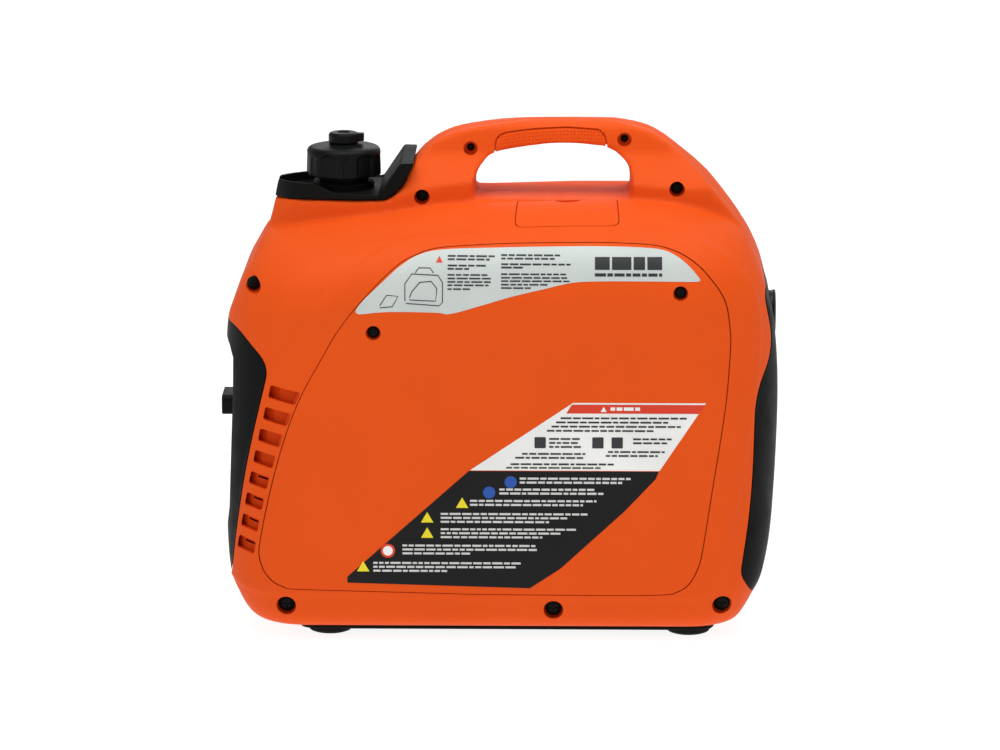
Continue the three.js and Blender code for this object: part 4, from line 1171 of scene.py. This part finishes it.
# ---------------- handle grip inset
GRIP_OUTLINE = [(-6, 400), (96.5, 400), (96.5, 437), (91, 444.5), (60, 446.5), (30, 445), (3, 441.5),
                (-4, 436.5)]
GRIP_GROOVE = 1.5
GRIP_FLOOR = 2.2
DOT_RADIUS = 1.1
DOT_SIDES = 8
LOWER_EDGE = ((0, 22, 45, 70, 92), (428.5, 431.8, 433.6, 434.2, 433.2))
DOT_PITCH = 3.1
DOT_ROWS = 4


def sunk(name, depth):
    """The envelope moved inwards by that depth."""
    made = copy_of(ENVELOPE, name)
    swell = made.modifiers.new("sink", "DISPLACE")
    swell.strength = -depth * MM
    swell.mid_level = 0
    return bake(made)


def grip_recess():
    """What the handle loses round the grip pad."""
    recess = prism("recess", rounded(GRIP_OUTLINE, 5), "y", -40, 40)
    return cut(recess, [sunk("floor", GRIP_FLOOR)])


def handle_grip():
    """A dotted pad let into both sides of the handle's bar, with a groove round it."""
    centre = (46, 425)
    inner = grown(rounded(GRIP_OUTLINE, 5), centre, 1 - GRIP_GROOVE / 50, 1 - GRIP_GROOVE / 20)
    pad = meet(sunk("handle_grip_pad", 0.3), [prism("region", inner, "y", -40, 40)])
    finished(pad, ORANGE)
    points, faces = [], []
    for side in (-1, 1):
        for column in range(30):
            x = 2 + column * DOT_PITCH
            foot = np.interp(x, LOWER_EDGE[0], LOWER_EDGE[1])
            for row in range(DOT_ROWS):
                z = foot + row * DOT_PITCH * 0.95
                hit, normal = SURFACE.ray_cast(Vector((x * MM, side * 0.4, z * MM)),
                                               Vector((0, -side, 0)))[:2]
                if hit is None:
                    continue
                across = normal.cross(Vector((1, 0, 0))).normalized()
                along = across.cross(normal).normalized()
                base = hit / MM - normal * 0.5
                start = len(points)
                for a in range(DOT_SIDES):
                    turn = a * 2 * math.pi / DOT_SIDES
                    points.append(base + (along * math.cos(turn) + across * math.sin(turn)) * DOT_RADIUS)
                points.append(base + normal * 1.25)
                faces += [(start + a, start + (a + 1) % DOT_SIDES, start + DOT_SIDES)
                          for a in range(DOT_SIDES)]
    dots = mesh_object("handle_grip_dots", points, faces)
    finished(dots, ORANGE)


# ---------------- stage, lights and camera
AIM = Vector((0, 0, 0.4735 * HIGH.z))
CAMERA_AZIMUTH = math.radians(1.0)
CAMERA_ELEVATION = math.radians(12.3)
CAMERA_DISTANCE = 9.0 * (HIGH.x - LOW.x)
SENSOR = 36.0
FOCAL = 177.9
FLOOR_GLOW = 0.9


def stage():
    """A plain pale floor."""
    reach, thickness = 9000, 0.3
    corners = [(-reach, -reach), (reach, -reach), (reach, reach), (-reach, reach)]
    floor = loft("floor", [[(x, y, z) for x, y in corners] for z in (-thickness, 0)])
    paper = moulded_plastic("floor", srgb(150, 150, 150), 0.8, depth=0.02, variation=0.004)
    glow = paper.node_tree.nodes["Principled BSDF"].inputs
    glow["Emission Color"].default_value = (1, 1, 1, 1)
    glow["Emission Strength"].default_value = FLOOR_GLOW
    floor.data.materials.append(paper)


def softbox(name, at, size, power):
    light = bpy.data.lights.new(name, "AREA")
    light.shape = "RECTANGLE"
    light.size, light.size_y = size
    light.energy = power
    lamp = bpy.data.objects.new(name, light)
    lamp.location = at
    lamp.rotation_euler = (AIM - Vector(at)).to_track_quat("-Z", "Y").to_euler()
    scene.collection.objects.link(lamp)


def lights():
    scene.view_settings.view_transform = "Standard"
    softbox("overhead", (0.1, -0.3, 2.0), (2.2, 1.6), 33)
    softbox("key", (-1.3, -2.2, 1.5), (1.4, 1.4), 5)
    softbox("fill", (1.7, -2.0, 0.9), (1.4, 1.4), 3)
    softbox("back", (0.3, 2.4, 1.6), (2.0, 1.2), 10)
    world = bpy.data.worlds.new("studio")
    world.use_nodes = True
    background = world.node_tree.nodes["Background"]
    background.inputs["Color"].default_value = (1, 1, 1, 1)
    background.inputs["Strength"].default_value = 0.36
    scene.world = world


def camera():
    back = Vector((math.sin(CAMERA_AZIMUTH) * math.cos(CAMERA_ELEVATION),
                   -math.cos(CAMERA_AZIMUTH) * math.cos(CAMERA_ELEVATION),
                   math.sin(CAMERA_ELEVATION)))
    data = bpy.data.cameras.new("camera")
    data.sensor_width = SENSOR
    data.lens = FOCAL
    data.clip_end = 50
    holder = bpy.data.objects.new("camera", data)
    holder.location = AIM + back * CAMERA_DISTANCE
    holder.rotation_euler = (-back).to_track_quat("-Z", "Y").to_euler()
    scene.collection.objects.link(holder)
    scene.camera = holder


finish_cad_nodes()
rear_shell()
front_shell()
service_cover()
spark_plug_hatch()
seam_rebates()
control_cap()
panel_backing()
exhaust_cap()
exhaust_outlet()
tank_surround()
fuel_cap()
vent_lever()
engine_switch()
panel_trim()
recoil_grip()
starter_rope()
base_tray()
feet()
fasteners(-1)
fasteners(1)
swoosh_label()
notice_label()
handle_grip()
discard(ENVELOPE, CAVITY)
stage()
lights()
camera()
